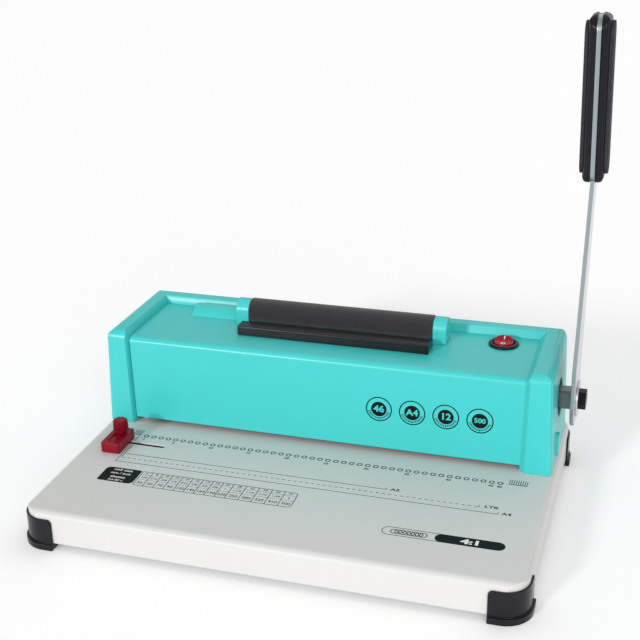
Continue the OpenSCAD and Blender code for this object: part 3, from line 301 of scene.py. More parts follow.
def make_finishes(look):
    """Every finish by its slot name."""
    fine = (1.0, 1.0, 1.0)
    along_x = (0.03, 1.0, 1.0)
    along_z = (1.0, 1.0, 0.02)
    # Painted shade for the lever's edge faces, which reflect less light than its broad sides.
    edge_shade_steel = (0.33, 0.385, 0.4)
    made = {
        "grip_rubber": knurled_finish(look.plastic),
        "red_rocker": lens_finish(look.lens),
        "roller_foam": foam_finish(look.foam),
    }
    paints = {
        "turquoise_paint": (look.housing, 0.02, 1100.0, (0.28, 0.36), 0.012 * MM, 0.4),
        "grey_paint": (look.base, 0.012, 1900.0, (0.3, 0.42), 0.02 * MM, 0.34),
        "light_ink": ((0.78, 0.79, 0.78), 0.03, 2500.0, (0.42, 0.55), 0.004 * MM),
    }
    plastics = {
        "black_plastic": (look.plastic, 1400.0, (0.18, 0.28), 0.012 * MM, 0.25),
        "grip_plastic": (look.plastic, 1000.0, (0.18, 0.28), 0.006 * MM, 0.18),
        "red_plastic": (look.guide, 900.0, (0.24, 0.36), 0.006 * MM, 0.2),
        "dark_ink": (look.ink, 2500.0, (0.5, 0.62), 0.004 * MM, 0.12),
        "grey_ink": ((0.19, 0.2, 0.2), 2500.0, (0.5, 0.62), 0.004 * MM, 0.12),
    }
    metals = {
        "lever_steel": ((0.66, 0.665, 0.68), (0.2, 0.36), along_z, 1500.0, 0.006 * MM, 0.1, edge_shade_steel),
        "shaft_steel": ((0.2, 0.21, 0.22), (0.3, 0.46), along_x, 1200.0, 0.01 * MM),
        "black_steel": ((0.014, 0.014, 0.016), (0.3, 0.44), fine, 1500.0, 0.012 * MM, 0.25),
        "bright_steel": ((0.6, 0.6, 0.61), (0.22, 0.36), fine, 900.0, 0.008 * MM),
        "zinc_plate": ((0.52, 0.53, 0.55), (0.34, 0.5), along_x, 500.0, 0.01 * MM, 0.14),
        "bronze": ((0.5, 0.32, 0.14), (0.34, 0.5), fine, 2200.0, 0.02 * MM, 0.2),
        "contact_brass": ((0.7, 0.55, 0.25), (0.2, 0.32), fine, 1200.0, 0.006 * MM),
    }
    for finish, table in ((painted, paints), (moulded, plastics), (metal, metals)):
        for name, values in table.items():
            made[name] = finish(name, *values)
    return made


FINISHES = {}


# Mesh helpers

def piece(name, bm):
    """A new object whose mesh holds the shape in its own place."""
    mesh = bpy.data.meshes.new(name)
    bm.to_mesh(mesh)
    bm.free()
    obj = bpy.data.objects.new(name, mesh)
    bpy.context.scene.collection.objects.link(obj)
    return obj


def closed_piece(name, bm):
    """A new object whose faces are all turned outwards."""
    bmesh.ops.recalc_face_normals(bm, faces=bm.faces)
    return piece(name, bm)


def bake(obj):
    """Turns an object with live modifiers into a plain mesh."""
    bpy.context.view_layer.update()
    graph = bpy.context.evaluated_depsgraph_get()
    shown = obj.evaluated_get(graph)
    mesh = bpy.data.meshes.new_from_object(shown, preserve_all_data_layers=True, depsgraph=graph)
    old = obj.data
    obj.modifiers.clear()
    obj.data = mesh
    mesh.name = obj.name
    bpy.data.meshes.remove(old)
    return obj


def soften(obj, width, segments=2):
    """Rounds the sharp edges close to the solid and evens the shading of the flats."""
    rounded_from, sharp_from = math.radians(30.0), math.radians(38.0)
    farthest = 0.6 * width
    obj.data.shade_smooth()
    if width > 0:
        solid = bmesh.new()
        solid.from_mesh(obj.data)
        skin = BVHTree.FromBMesh(solid)
        solid.free()
        bevel = obj.modifiers.new("round", "BEVEL")
        bevel.width = width
        bevel.segments = segments
        bevel.limit_method = "ANGLE"
        bevel.angle_limit = rounded_from
        bevel.use_clamp_overlap = False
        bevel.miter_outer = "MITER_ARC"
        bake(obj)
        for vertex in obj.data.vertices:
            nearest, _, _, gap = skin.find_nearest(vertex.co)
            if gap > farthest:
                vertex.co = nearest
    obj.data.set_sharp_from_angle(angle=sharp_from)
    even = obj.modifiers.new("even", "WEIGHTED_NORMAL")
    even.keep_sharp = True
    even.weight = 80
    return bake(obj)


def hand_over(obj, body, slot, *nodes, finish=None):
    """Gives a finished piece the finish named by its slot, hangs it on its body and hides the solids it stands
    for.
    """
    obj.data.materials.clear()
    obj.data.materials.append(FINISHES[finish or slot])
    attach(obj, body)
    if nodes:
        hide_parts(*nodes)
    return obj


def solid_copy(node):
    """The solid's shape with its triangles merged into whole faces."""
    bm = bmesh.new()
    bm.from_mesh(frame["nodes"][node].data)
    bmesh.ops.remove_doubles(bm, verts=bm.verts, dist=0.002 * MM)
    bmesh.ops.dissolve_limit(bm, angle_limit=math.radians(0.3), verts=bm.verts, edges=bm.edges)
    return bm


def dress(node, slot, width, segments=2, shape=None):
    """A softened copy of a solid in its finish, standing for it; shape is a copy that was changed before."""
    obj = soften(piece("dressed_" + node, shape or solid_copy(node)), width, segments)
    return hand_over(obj, BODY_OF[node], slot, node)


def carved(shape, tool):
    """The shape with the tool's solids cut away."""
    body, knife = piece("body", shape), piece("knife", tool)
    cut = body.modifiers.new("cut", "BOOLEAN")
    cut.operation, cut.solver, cut.object = "DIFFERENCE", "EXACT", knife
    cut.use_self = True
    bake(body)
    made = bmesh.new()
    made.from_mesh(body.data)
    for obj in (body, knife):
        bpy.data.objects.remove(obj)
    return made


def carry(slot, *nodes):
    """Gives solids that show as they are their finish."""
    for node in nodes:
        mesh = frame["nodes"][node].data
        mesh.materials.clear()
        mesh.materials.append(FINISHES[slot])


def prism(bm, outline, low, high, place):
    """Adds a closed prism over a flat outline."""
    floor = [bm.verts.new(place @ Vector((x, y, low))) for x, y in outline]
    roof = [bm.verts.new(place @ Vector((x, y, high))) for x, y in outline]
    count = len(outline)
    bm.faces.new(list(reversed(floor)))
    bm.faces.new(roof)
    for i in range(count):
        j = (i + 1) % count
        bm.faces.new((floor[i], floor[j], roof[j], roof[i]))


def frame_ring(bm, outer, inner, low, high, place):
    """Adds a closed frame between two outlines with the same number of points."""
    loops = [[bm.verts.new(place @ Vector((x, y, z))) for x, y in outline]
             for outline, z in ((outer, low), (outer, high), (inner, high), (inner, low))]
    count = len(outer)
    for k in range(4):
        a, b = loops[k], loops[(k + 1) % 4]
        for i in range(count):
            j = (i + 1) % count
            bm.faces.new((a[i], a[j], b[j], b[i]))


def circle(centre, radius, count=32):
    """Points of a circle, anticlockwise."""
    return [(centre[0] + radius * math.cos(2 * math.pi * i / count),
             centre[1] + radius * math.sin(2 * math.pi * i / count)) for i in range(count)]


def round_rectangle(x0, x1, y0, y1, radii=(0, 0, 0, 0), steps=6):
    """Outline with its own radius at each corner, from the lower left corner round."""
    points = []
    corners = ((x0, y0, 180), (x1, y0, 270), (x1, y1, 0), (x0, y1, 90))
    for (x, y, start), r in zip(corners, radii):
        cx = x + r if x == x0 else x - r
        cy = y + r if y == y0 else y - r
        for k in range(steps + 1):
            a = math.radians(start + 90 * k / steps)
            points.append((cx + r * math.cos(a), cy + r * math.sin(a)))
            if r == 0:
                break
    return points


def lathe(bm, profile, count, place):
    """Adds a turned shape from (radius, height) points; zero radii close at the axis."""
    rings = []
    for radius, height in profile:
        around = circle((0, 0), radius, count) if radius else [(0, 0)]
        rings.append([bm.verts.new(place @ Vector((x, y, height))) for x, y in around])
    for low, high in zip(rings, rings[1:]):
        for i in range(count):
            j = (i + 1) % count
            if len(low) == 1:
                bm.faces.new((low[0], high[j], high[i]))
            elif len(high) == 1:
                bm.faces.new((low[i], low[j], high[0]))
            else:
                bm.faces.new((low[i], low[j], high[j], high[i]))


def lettering(bm, words, size, place, widen, weight):
    """Adds words as a thin solid centred on place, whose units are millimetres."""
    half_thickness = 0.03
    curve = bpy.data.curves.new("words", "FONT")
    curve.body = words
    curve.align_x = "CENTER"
    curve.align_y = "CENTER"
    curve.size = size
    curve.extrude = half_thickness
    curve.offset = weight * size
    curve.resolution_u = 3
    obj = bpy.data.objects.new("words", curve)
    bpy.context.scene.collection.objects.link(obj)
    bpy.context.view_layer.update()
    graph = bpy.context.evaluated_depsgraph_get()
    mesh = bpy.data.meshes.new_from_object(obj.evaluated_get(graph))
    mesh.transform(place @ Matrix.Diagonal((widen, 1.0, 1.0, 1.0)))
    bm.from_mesh(mesh)
    bpy.data.objects.remove(obj)
    bpy.data.curves.remove(curve)
    bpy.data.meshes.remove(mesh)


# Geometry node trees

def new_tree(name, inputs):
    """An empty geometry tree with named inputs and one geometry output."""
    tree = bpy.data.node_groups.new(name, "GeometryNodeTree")
    tree.interface.new_socket("Geometry", in_out="OUTPUT", socket_type="NodeSocketGeometry")
    for label, kind in inputs:
        tree.interface.new_socket(label, in_out="INPUT", socket_type="NodeSocket" + kind)
    return tree, tree.nodes.new("NodeGroupInput"), tree.nodes.new("NodeGroupOutput")


def end_tree(tree, source, shape, out):
    """Closes a tree with real geometry in its material."""
    real = tree.nodes.new("GeometryNodeRealizeInstances")
    paint = tree.nodes.new("GeometryNodeSetMaterial")
    tree.links.new(shape, real.inputs["Geometry"])
    tree.links.new(real.outputs["Geometry"], paint.inputs["Geometry"])
    tree.links.new(source.outputs["Material"], paint.inputs["Material"])
    tree.links.new(paint.outputs["Geometry"], out.inputs["Geometry"])


def rows_tree():
    """Copies of one item in straight rows and columns about the centre."""
    tree, source, out = new_tree("Rows of an item", (
        ("Item", "Object"), ("Columns", "Int"), ("Rows", "Int"), ("Width", "Float"), ("Depth", "Float"),
        ("Centre", "Vector"), ("Material", "Material")))
    grid = tree.nodes.new("GeometryNodeMeshGrid")
    move = tree.nodes.new("GeometryNodeTransform")
    item = tree.nodes.new("GeometryNodeObjectInfo")
    copies = tree.nodes.new("GeometryNodeInstanceOnPoints")
    link = tree.links.new
    for label, socket in (("Width", "Size X"), ("Depth", "Size Y"),
                          ("Columns", "Vertices X"), ("Rows", "Vertices Y")):
        link(source.outputs[label], grid.inputs[socket])
    link(grid.outputs["Mesh"], move.inputs["Geometry"])
    link(source.outputs["Centre"], move.inputs["Translation"])
    link(source.outputs["Item"], item.inputs["Object"])
    link(move.outputs["Geometry"], copies.inputs["Points"])
    link(item.outputs["Geometry"], copies.inputs["Instance"])
    end_tree(tree, source, copies.outputs["Instances"], out)
    return tree


def ring_tree():
    """Copies of one item turned round an upright axis through the centre."""
    tree, source, out = new_tree("Ring of an item", (
        ("Item", "Object"), ("Count", "Int"), ("Centre", "Vector"), ("Material", "Material")))
    line = tree.nodes.new("GeometryNodeMeshLine")
    item = tree.nodes.new("GeometryNodeObjectInfo")
    index = tree.nodes.new("GeometryNodeInputIndex")
    share = tree.nodes.new("ShaderNodeMath")
    turn = tree.nodes.new("ShaderNodeMath")
    axis = tree.nodes.new("ShaderNodeCombineXYZ")
    copies = tree.nodes.new("GeometryNodeInstanceOnPoints")
    share.operation = "DIVIDE"
    turn.operation = "MULTIPLY"
    turn.inputs[1].default_value = 2 * math.pi
    link = tree.links.new
    link(source.outputs["Count"], line.inputs["Count"])
    link(source.outputs["Centre"], line.inputs["Start Location"])
    line.inputs["Offset"].default_value = (0.0, 0.0, 0.0)
    link(index.outputs[0], share.inputs[0])
    link(source.outputs["Count"], share.inputs[1])
    link(share.outputs[0], turn.inputs[0])
    link(turn.outputs[0], axis.inputs["Z"])
    link(source.outputs["Item"], item.inputs["Object"])
    link(line.outputs["Mesh"], copies.inputs["Points"])
    link(item.outputs["Geometry"], copies.inputs["Instance"])
    link(axis.outputs[0], copies.inputs["Rotation"])
    end_tree(tree, source, copies.outputs["Instances"], out)
    return tree


def spring_tree():
    """A row of coil springs of round wire standing on their lower ends."""
    tree, source, out = new_tree("Coil springs", (
        ("Count", "Int"), ("Width", "Float"), ("Foot", "Vector"), ("Turns", "Float"), ("Radius", "Float"),
        ("Height", "Float"), ("Wire", "Float"), ("Material", "Material")))
    spiral = tree.nodes.new("GeometryNodeCurveSpiral")
    profile = tree.nodes.new("GeometryNodeCurvePrimitiveCircle")
    tube = tree.nodes.new("GeometryNodeCurveToMesh")
    grid = tree.nodes.new("GeometryNodeMeshGrid")
    move = tree.nodes.new("GeometryNodeTransform")
    copies = tree.nodes.new("GeometryNodeInstanceOnPoints")
    link = tree.links.new
    spiral.inputs["Resolution"].default_value = 24
    profile.inputs["Resolution"].default_value = 10
    tube.inputs["Fill Caps"].default_value = True
    grid.inputs["Vertices Y"].default_value = 1
    for label, socket in (("Turns", "Rotations"), ("Radius", "Start Radius"), ("Radius", "End Radius"),
                          ("Height", "Height")):
        link(source.outputs[label], spiral.inputs[socket])
    link(source.outputs["Wire"], profile.inputs["Radius"])
    link(spiral.outputs["Curve"], tube.inputs["Curve"])
    link(profile.outputs["Curve"], tube.inputs["Profile Curve"])
    link(source.outputs["Width"], grid.inputs["Size X"])
    link(source.outputs["Count"], grid.inputs["Vertices X"])
    link(grid.outputs["Mesh"], move.inputs["Geometry"])
    link(source.outputs["Foot"], move.inputs["Translation"])
    link(move.outputs["Geometry"], copies.inputs["Points"])
    link(tube.outputs["Mesh"], copies.inputs["Instance"])
    end_tree(tree, source, copies.outputs["Instances"], out)
    return tree


TREES = {}


def grown(name, tree, item=None, **values):
    """A plain mesh object made by a tree from its named inputs."""
    obj = piece(name, bmesh.new())
    modifier = obj.modifiers.new(name, "NODES")
    modifier.node_group = TREES[tree]
    if item is not None:
        values["Item"] = item
    sockets = {s.name: s.identifier for s in TREES[tree].interface.items_tree if s.in_out == "INPUT"}
    for label, value in values.items():
        modifier[sockets[label]] = value
    bake(obj)
    if item is not None:
        bpy.data.objects.remove(item)
    return obj


def cross_head_screw(radius, height, shank, length):
    """A pan head screw with a cross recess, head down, its head's face at the origin."""
    sides = 24
    arm, slot, deep, taper = radius * 0.58, radius * 0.17, height * 0.55, 0.8
    cross = [(slot, slot), (slot, arm), (-slot, arm), (-slot, slot), (-arm, slot), (-arm, -slot),
             (-slot, -slot), (-slot, -arm), (slot, -arm), (slot, -slot), (arm, -slot), (arm, slot)]
    bm = bmesh.new()
    rim = [bm.verts.new((x, y, 0)) for x, y in circle((0, 0), radius * 0.82, sides)]
    mouth = [bm.verts.new((x, y, 0)) for x, y in cross]
    floor = [bm.verts.new((x * taper, y * taper, deep)) for x, y in cross]
    edges = []
    for loop in (rim, mouth):
        edges += [bm.edges.new(pair) for pair in zip(loop, loop[1:] + loop[:1])]
    bmesh.ops.triangle_fill(bm, edges=edges, use_beauty=True)
    bm.faces.new(floor)
    for i in range(len(cross)):
        j = (i + 1) % len(cross)
        bm.faces.new((mouth[i], mouth[j], floor[j], floor[i]))
    previous = rim
    for r, z in ((radius, height * 0.3), (radius, height), (shank, height), (shank, length)):
        ring = [bm.verts.new((x, y, z)) for x, y in circle((0, 0), r, sides)]
        for i in range(sides):
            j = (i + 1) % sides
            bm.faces.new((previous[i], previous[j], ring[j], ring[i]))
        previous = ring
    bm.faces.new(previous)
    return closed_piece("screw_item", bm)


# Prints

class BasePrint:
    """The prints on the base in the making, laid out in millimetres."""

    def __init__(self, ink_height):
        self.top = ink_height / MM
        self.place = Matrix.Translation((SHEET_X * MM, HOLE_ROW_Y * MM, TRAY_HIGH.z)) @ FROM_MM
        self.lines = bmesh.new()
        self.faint_lines = bmesh.new()
        self.plates = bmesh.new()
        self.figures = bmesh.new()
        self.pale_figures = bmesh.new()

    def bars(self, bm, *boxes):
        """Adds rectangles given by their left, right, front and rear sides."""
        for box in boxes:
            prism(bm, round_rectangle(*box), SUNK, self.top, self.place)

    def words(self, bm, words, size, x, y, widen, weight, lift=0.0):
        """Adds words centred on a point."""
        lettering(bm, words, size, self.place @ Matrix.Translation((x, y, lift)), widen, weight)

    def line_item(self, width, depth):
        """A short line that a row repeats."""
        bm = bmesh.new()
        prism(bm, round_rectangle(-width / 2, width / 2, -depth / 2, depth / 2), SUNK, self.top, FROM_MM)
        return piece("line_item", bm)

    def ring_item(self, name, inner, outer, sides):
        """A flat ring that a row repeats."""
        bm = bmesh.new()
        frame_ring(bm, circle((0, 0), outer, sides), circle((0, 0), inner, sides), SUNK, self.top, FROM_MM)
        return piece(name, bm)

    def row(self, name, item, count, x0, x1, y):
        """Hands over a row of an item between two places."""
        made = grown(name, "rows", item, Columns=count, Rows=1, Width=(x1 - x0) * MM, Depth=0.0,
                     Centre=self.place @ Vector(((x0 + x1) / 2, y, 0.0)), Material=FINISHES["dark_ink"])
        hand_over(made, "frame", None, finish="dark_ink")

    def finish(self):
        """Hands over the other prints, one piece for each ink and layer."""
        for name, bm, ink in (("print_lines", self.lines, "dark_ink"),
                              ("print_figures", self.figures, "dark_ink"),
                              ("print_faint_lines", self.faint_lines, "grey_ink"),
                              ("print_plates", self.plates, "dark_ink"),
                              ("print_pale_figures", self.pale_figures, "light_ink")):
            bmesh.ops.remove_doubles(bm, verts=bm.verts, dist=0.0005 * MM)
            hand_over(piece(name, bm), "frame", None, finish=ink)


def print_hole_row(sheet, count, pitch):
    """Marks for the holes, with a number at the first, every fifth and the last."""
    first, ring_inner, ring_outer = 6.11, 1.4, 2.2
    figure_y, figure_size = -5.3, 3.4
    last = first + pitch * (count - 1)
    ring = sheet.ring_item("ring_item", ring_inner, ring_outer, 24)
    sheet.row("hole_marks", ring, count, first, last, 0.0)
    for n in (1, *range(5, count, 5), count):
        sheet.words(sheet.figures, str(n), figure_size, first + pitch * (n - 1), figure_y,
                    widen=1.15, weight=0.03)


def print_paper_lines(sheet):
    """Lines for the three sheet lengths, with their names."""
    thin, rear = 0.5, -16.5
    a4_end, a4_y, a4_tick = 297.3, -43.9, 2.7
    a5_start, a5_end, a5_y, a5_tick = 3.0, 212.6, -31.2, 2.6
    ltr_start, ltr_end, ltr_y, ltr_tick, ltr_half = 1.3, 282.0, -37.3, 2.7, 0.1
    dash_start, dash_end, dash_count, dash_length, dash_width = 3.6, 280.2, 62, 2.0, 0.6
    name_size = 4.6
    sheet.bars(sheet.lines,
               (-thin, 0.0, a4_y, rear), (0.0, a4_end, a4_y, a4_y + thin),
               (a4_end - thin, a4_end, a4_y, a4_y + a4_tick),
               (a5_start, a5_end, a5_y, a5_y + thin), (a5_end - thin, a5_end, a5_y, a5_y + a5_tick),
               (ltr_start, ltr_start + thin, ltr_y + ltr_half, rear),
               (ltr_end, ltr_end + thin, ltr_y - ltr_half, ltr_y + ltr_tick))
    dash = sheet.line_item(dash_length, dash_width)
    sheet.row("ltr_dashes", dash, dash_count, dash_start, dash_end, ltr_y)
    for name, x, y in (("A5", 219.2, -30.2), ("LTR", 291.3, -35.8), ("A4", 303.0, -42.4)):
        sheet.words(sheet.figures, name, name_size, x, y, widen=1.3, weight=0.025)


def print_combs(sheet):
    """Marks at both ends of the row: a punched sheet edge."""
    thin, past, spine = 0.5, 0.3, 0.6
    stem_x, stem_front, stem_rear = -0.2, -10.5, 0.6
    for name, x0, x1, y0, y1, count in (("right_comb", 298.4, 311.2, 0.0, 7.4, 9),
                                        ("left_comb", -5.4, 0.6, 0.6, 8.4, 5)):
        sheet.row(name + "_teeth", sheet.line_item(thin, y1 - y0), count, x0, x1, (y0 + y1) / 2)
        sheet.bars(sheet.lines, (x0 - past, x1 + past, y0, y0 + spine))
    sheet.bars(sheet.lines, (stem_x, stem_x + thin, stem_front, stem_rear))


def print_size_table(sheet):
    """Table of coil sizes in millimetres and inches and of sheet counts, with its label."""
    left, right, low, high = 28.2, 152.7, -74.5, -53.6
    middle = (low + high) / 2
    stroke, faint, gap = 0.52, 0.17, 0.3
    rule_ys = (-58.6, -65.4)
    figure_ys, figure_sizes = (-56.1, -62.0, -70.0), (3.2, 3.2, 4.2)
    table = (("6", "1/4", "30"), ("8", "5/16", "50"), ("10", "3/8", "70"), ("12", "1/2", "90"),
             ("14", "9/16", "120"), ("16", "5/8", "145"), ("19", "3/4", "165"), ("22", "7/8", "190"),
             ("25", "1", "220"), ("28", "1-1/8", "250"), ("32", "1-1/4", "280"), ("38", "1-1/2", "325"),
             ("45", "1-3/4", "410"), ("51", "2", "500"))
    narrow, wide, narrow_count = 8.2, 10.14, 9
    starts = [left + narrow * min(i, narrow_count) + wide * max(0, i - narrow_count)
              for i in range(len(table) + 1)]
    split = starts[narrow_count]
    sheet.row("table_narrow_columns", sheet.line_item(stroke, high - low), narrow_count,
              starts[1], split, middle)
    sheet.row("table_wide_columns", sheet.line_item(stroke, high - low), len(table) - narrow_count - 1,
              split + wide, starts[-2], middle)
    outer = round_rectangle(left, right, low, high, (2.2, 3.2, 3.2, 0.6))
    inner = round_rectangle(left + stroke, right - stroke, low + stroke, high - stroke, (1.7, 2.7, 2.7, 0.2))
    frame_ring(sheet.lines, outer, inner, SUNK, sheet.top, sheet.place)
    for y in rule_ys:
        sheet.bars(sheet.faint_lines, (left + gap, right - gap, y - faint, y + faint))
    for i, cells in enumerate(table):
        x = (starts[i] + starts[i + 1]) / 2
        for words, y, size in zip(cells, figure_ys, figure_sizes):
            widen = 1.1 if len(words) < 4 else 0.95
            sheet.words(sheet.figures, words, size, x, y, widen, weight=0.012)
    label = round_rectangle(-1.6, 27.2, -73.8, -53.2, (1.6, 4.0, 1.6, 4.0))
    label_x = 12.8
    prism(sheet.plates, label, SUNK, sheet.top, sheet.place)
    for words, y, size in (("coil size", -56.0, 4.0), ("mm / inch", -61.2, 3.4),
                           ("sheets", -66.6, 4.0), ("A4 80 g", -71.2, 3.2)):
        sheet.words(sheet.pale_figures, words, size, label_x, y, widen=1.2, weight=0.02, lift=sheet.top)


def print_pitch_badge(sheet):
    """Badge with the hole pattern: a coil and the number of holes to an inch."""
    left, split, right, low, high = 223.0, 260.5, 309.0, -89.9, -79.6
    corner, stroke, plate_top = 5.1, 0.55, sheet.top * 1.1
    inside = (corner - stroke,) * 4
    coil_inner, coil_outer, coil_turns, coil_start, coil_end, coil_y = 2.25, 2.9, 8, 232.0, 252.5, -84.75
    figure_x, figure_y, figure_size = 285.5, -84.9, 7.6
    outer = round_rectangle(left, right, low, high, (corner,) * 4)
    inner = round_rectangle(left + stroke, right - stroke, low + stroke, high - stroke, inside)
    frame_ring(sheet.lines, outer, inner, SUNK, sheet.top, sheet.place)
    plate = round_rectangle(split, right, low, high, (corner,) * 4)
    prism(sheet.plates, plate, SUNK, plate_top, sheet.place)
    sheet.words(sheet.pale_figures, "4:1", figure_size, figure_x, figure_y, widen=1.5, weight=0.045,
                lift=sheet.top)
    coil = sheet.ring_item("coil_item", coil_inner, coil_outer, 28)
    sheet.row("badge_coil", coil, coil_turns, coil_start, coil_end, coil_y)


def dial_item(top, place):
    """A round mark for the cover: a ring, a filled disc and a scale of ticks below it."""
    ring_inner, ring_outer, disc = 9.4, 10.3, 6.15
    ticks, half, tick_from, tick_to, long_tick_to = 15, 0.36, 7.0, 8.3, 8.75
    scale_start, scale_turn, long_tick_every = 198, 144, 7
    ring_sides, disc_sides = 56, 48
    outer, inner = circle((0, 0), ring_outer, ring_sides), circle((0, 0), ring_inner, ring_sides)
    bm = bmesh.new()
    frame_ring(bm, outer, inner, SUNK, top, place)
    prism(bm, circle((0, 0), disc, disc_sides), SUNK, top, place)
    for k in range(ticks):
        a = math.radians(scale_start + scale_turn * k / (ticks - 1))
        side = Vector((-math.sin(a), math.cos(a))) * half
        out = Vector((math.cos(a), math.sin(a)))
        start, end = out * tick_from, out * (tick_to if k % long_tick_every else long_tick_to)
        prism(bm, (start - side, end - side, end + side, start + side), SUNK, top, place)
    return piece("mark_item", bm)


# Shapes of single pieces

def guide_block():
    """The edge guide's block, with a shallow pocket in front of the knob."""
    low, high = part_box("edge_guide_block")
    x, y, _ = underside("edge_guide_knob")
    above_base, corner = 0.12 * MM, 1.8 * MM
    half, front, rear = 3.4 * MM, low.y + 4.2 * MM, y - 1.0 * MM
    pocket_corner, pocket_depth, past = 1.2 * MM, 0.5 * MM, 2.0 * MM
    outline = round_rectangle(low.x, high.x, low.y, high.y, (corner,) * 4, 5)
    hollow = round_rectangle(x - half, x + half, front, rear, (pocket_corner,) * 4, 4)
    block, pocket = bmesh.new(), bmesh.new()
    prism(block, outline, low.z + above_base, high.z, Matrix.Identity(4))
    prism(pocket, hollow, high.z - pocket_depth, high.z + past, Matrix.Identity(4))
    return piece("edge_guide_block_body", carved(block, pocket))


def clamp_knob(flute_count, flute_depth):
    """The edge guide's knob: a core with a crowned top, and ribs between the flutes."""
    low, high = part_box("edge_guide_knob")
    centre = underside("edge_guide_knob")
    radius, height = (high.x - low.x) / 2, high.z - low.z
    core = radius - flute_depth
    neck, collar, crown = core * 0.82, 2.2 * MM, 0.9 * MM
    bm = bmesh.new()
    profile = [(0, 0), (neck, 0), (neck, collar), (core, collar), (core, height - crown),
               (core - 0.25 * MM, height - 0.35 * MM), (core - 0.8 * MM, height - 0.1 * MM),
               (core * 0.5, height), (0, height)]
    lathe(bm, profile, 64, Matrix.Translation(centre))
    turned = piece("knob_core", bm)
    half = math.pi * core / flute_count * 0.62
    root, shoulder, tip_in, above_collar = core - 0.4 * MM, radius - 0.3 * MM, 0.35 * MM, 0.2 * MM
    bm = bmesh.new()
    outline = [(root, -half), (shoulder, -half * 0.75), (radius, -half * 0.3),
               (radius, half * 0.3), (shoulder, half * 0.75), (root, half)]
    prism(bm, outline, collar + above_collar, height - crown, Matrix.Identity(4))
    for vertex in bm.verts:
        if vertex.co.z > height * 0.7 and vertex.co.x > core:
            vertex.co.x -= tip_in
    ribs = grown("knob_ribs", "ring", piece("rib_item", bm), Count=flute_count, Centre=centre,
                 Material=FINISHES["red_plastic"])
    bm = bmesh.new()
    for part in (turned, ribs):
        bm.from_mesh(part.data)
        bpy.data.objects.remove(part)
    return closed_piece("clamp_knob", bm)


def set_caps(shell, low, high):
    """Widens the right cap, leans its inner flank further and moves the shell's sides a little."""
    bend, flank = 9.0, 3.5
    inner_from, inner_to, side_from = 159.5, 166.5, 170.0
    widen, lean, right_in, left_out = 2.9, 2.0, 0.8, 1.8
    origin = Vector((TRAY_MIDDLE.x, low.y, high.z))
    for vertex in shell.verts:
        x, y, z = (vertex.co - origin) / MM
        if inner_from < x < inner_to:
            in_bend = y < bend and z > -bend
            depth = bend - math.hypot(y - bend, z + bend) if in_bend else min(-z, y)
            vertex.co.x -= (widen + lean * max(0.0, min(1.0, depth / flank))) * MM
        elif x > side_from:
            vertex.co.x -= right_in * MM
        elif x < -side_from:
            vertex.co.x -= left_out * MM


def round_caps(shell, low, high):
    """The shell with the outer top edges of its caps cut to a larger radius."""
    radius, slope, steps, clear, past = 8.0, 0.037, 16, 5.0, 0.02
    left_corner, right_corner = -179.3, 176.7
    along_y = Matrix(((1, 0, 0, 0), (0, 0, -1, 0), (0, 1, 0, 0), (0, 0, 0, 1)))
    inward = radius * (math.hypot(1, slope) - slope)
    turns = [(math.pi / 2 - math.atan(slope)) * i / steps for i in range(steps + 1)]
    arc = [(inward - radius * math.sin(a), radius - radius * math.cos(a)) for a in turns]
    (start, _), (end, down) = arc[0], arc[-1]
    outline = [(start, -past), *arc[1:-1], (end - past, down),
               (-clear, down), (-clear, -clear), (start, -clear)]
    for corner, way in ((left_corner, 1), (right_corner, -1)):
        placed = [(TRAY_MIDDLE.x + (corner + way * u) * MM, high.z - w * MM) for u, w in outline]
        knife = bmesh.new()
        prism(knife, placed, -high.y - clear * MM, clear * MM - low.y, along_y)
        if knife.calc_volume(signed=True) < 0:
            bmesh.ops.reverse_faces(knife, faces=knife.faces)
        shell = carved(shell, knife)
    return shell


def flat_cover(panel):
    """The front cover, flat where the blister stands and with a tighter bend along its front."""
    wide, tight = 8.0 * MM, 4.8 * MM
    wall, sunk, bend_in, bend_out = 1.0 * MM, 0.05 * MM, 2.0 * MM, 0.2 * MM
    cover = solid_copy("front_cover")
    cover.normal_update()
    for vertex in cover.verts:
        _, y, z = vertex.co
        if vertex.normal.z < 0:
            vertex.co.z = min(z, panel - wall)
        elif z > panel + sunk:
            vertex.co.z = panel - sunk
        reach = Vector((y - COVER_LOW.y - wide, z - panel + wide))
        if reach.x <= 0.0 and reach.y >= 0.0 and wide - bend_in < reach.length < wide + bend_out:
            turned = reach.normalized() * (reach.length - wide + tight)
            vertex.co.y = COVER_LOW.y + tight + turned.x
            vertex.co.z = panel - tight + turned.y
    return cover


def motor_blister(panel):
    """A long round form over the motor: a flat left end with a rounded edge, its foot in the cover."""
    start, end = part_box("drive_motor")
    axis = (start + end) / 2 + Vector((0.0, 3.9 * MM, 1.15 * MM))
    left, right = start.x - 2.4 * MM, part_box("left_roller_block")[0].x + 0.4 * MM
    back, foot = COVER_HIGH.y - 0.3 * MM, panel - 0.4 * MM
    radius, edge, steps, around = 14.45 * MM, 1.0 * MM, 5, 40
    turns = [math.pi / 2 * k / steps for k in range(steps + 1)]
    stations = [(left + edge * (1 - math.cos(a)), radius - edge * (1 - math.sin(a))) for a in turns]
    bm = bmesh.new()
    loops = []
    for x, reach in (*stations, (right, radius)):
        loop = []
        for i in range(around + 1):
            a = math.pi * i / around
            y, z = axis.y - reach * math.cos(a), axis.z + reach * math.sin(a)
            loop.append(bm.verts.new((x, min(y, back), max(z, foot))))
        loops.append(loop)
    for a, b in zip(loops, loops[1:]):
        for i in range(around):
            bm.faces.new((a[i], b[i], b[i + 1], a[i + 1]))
        bm.faces.new((a[0], a[around], b[around], b[0]))
    for loop in (loops[0], loops[-1]):
        bm.faces.new(loop)
    bmesh.ops.remove_doubles(bm, verts=bm.verts, dist=0.002 * MM)
    return closed_piece("motor_blister", bm)


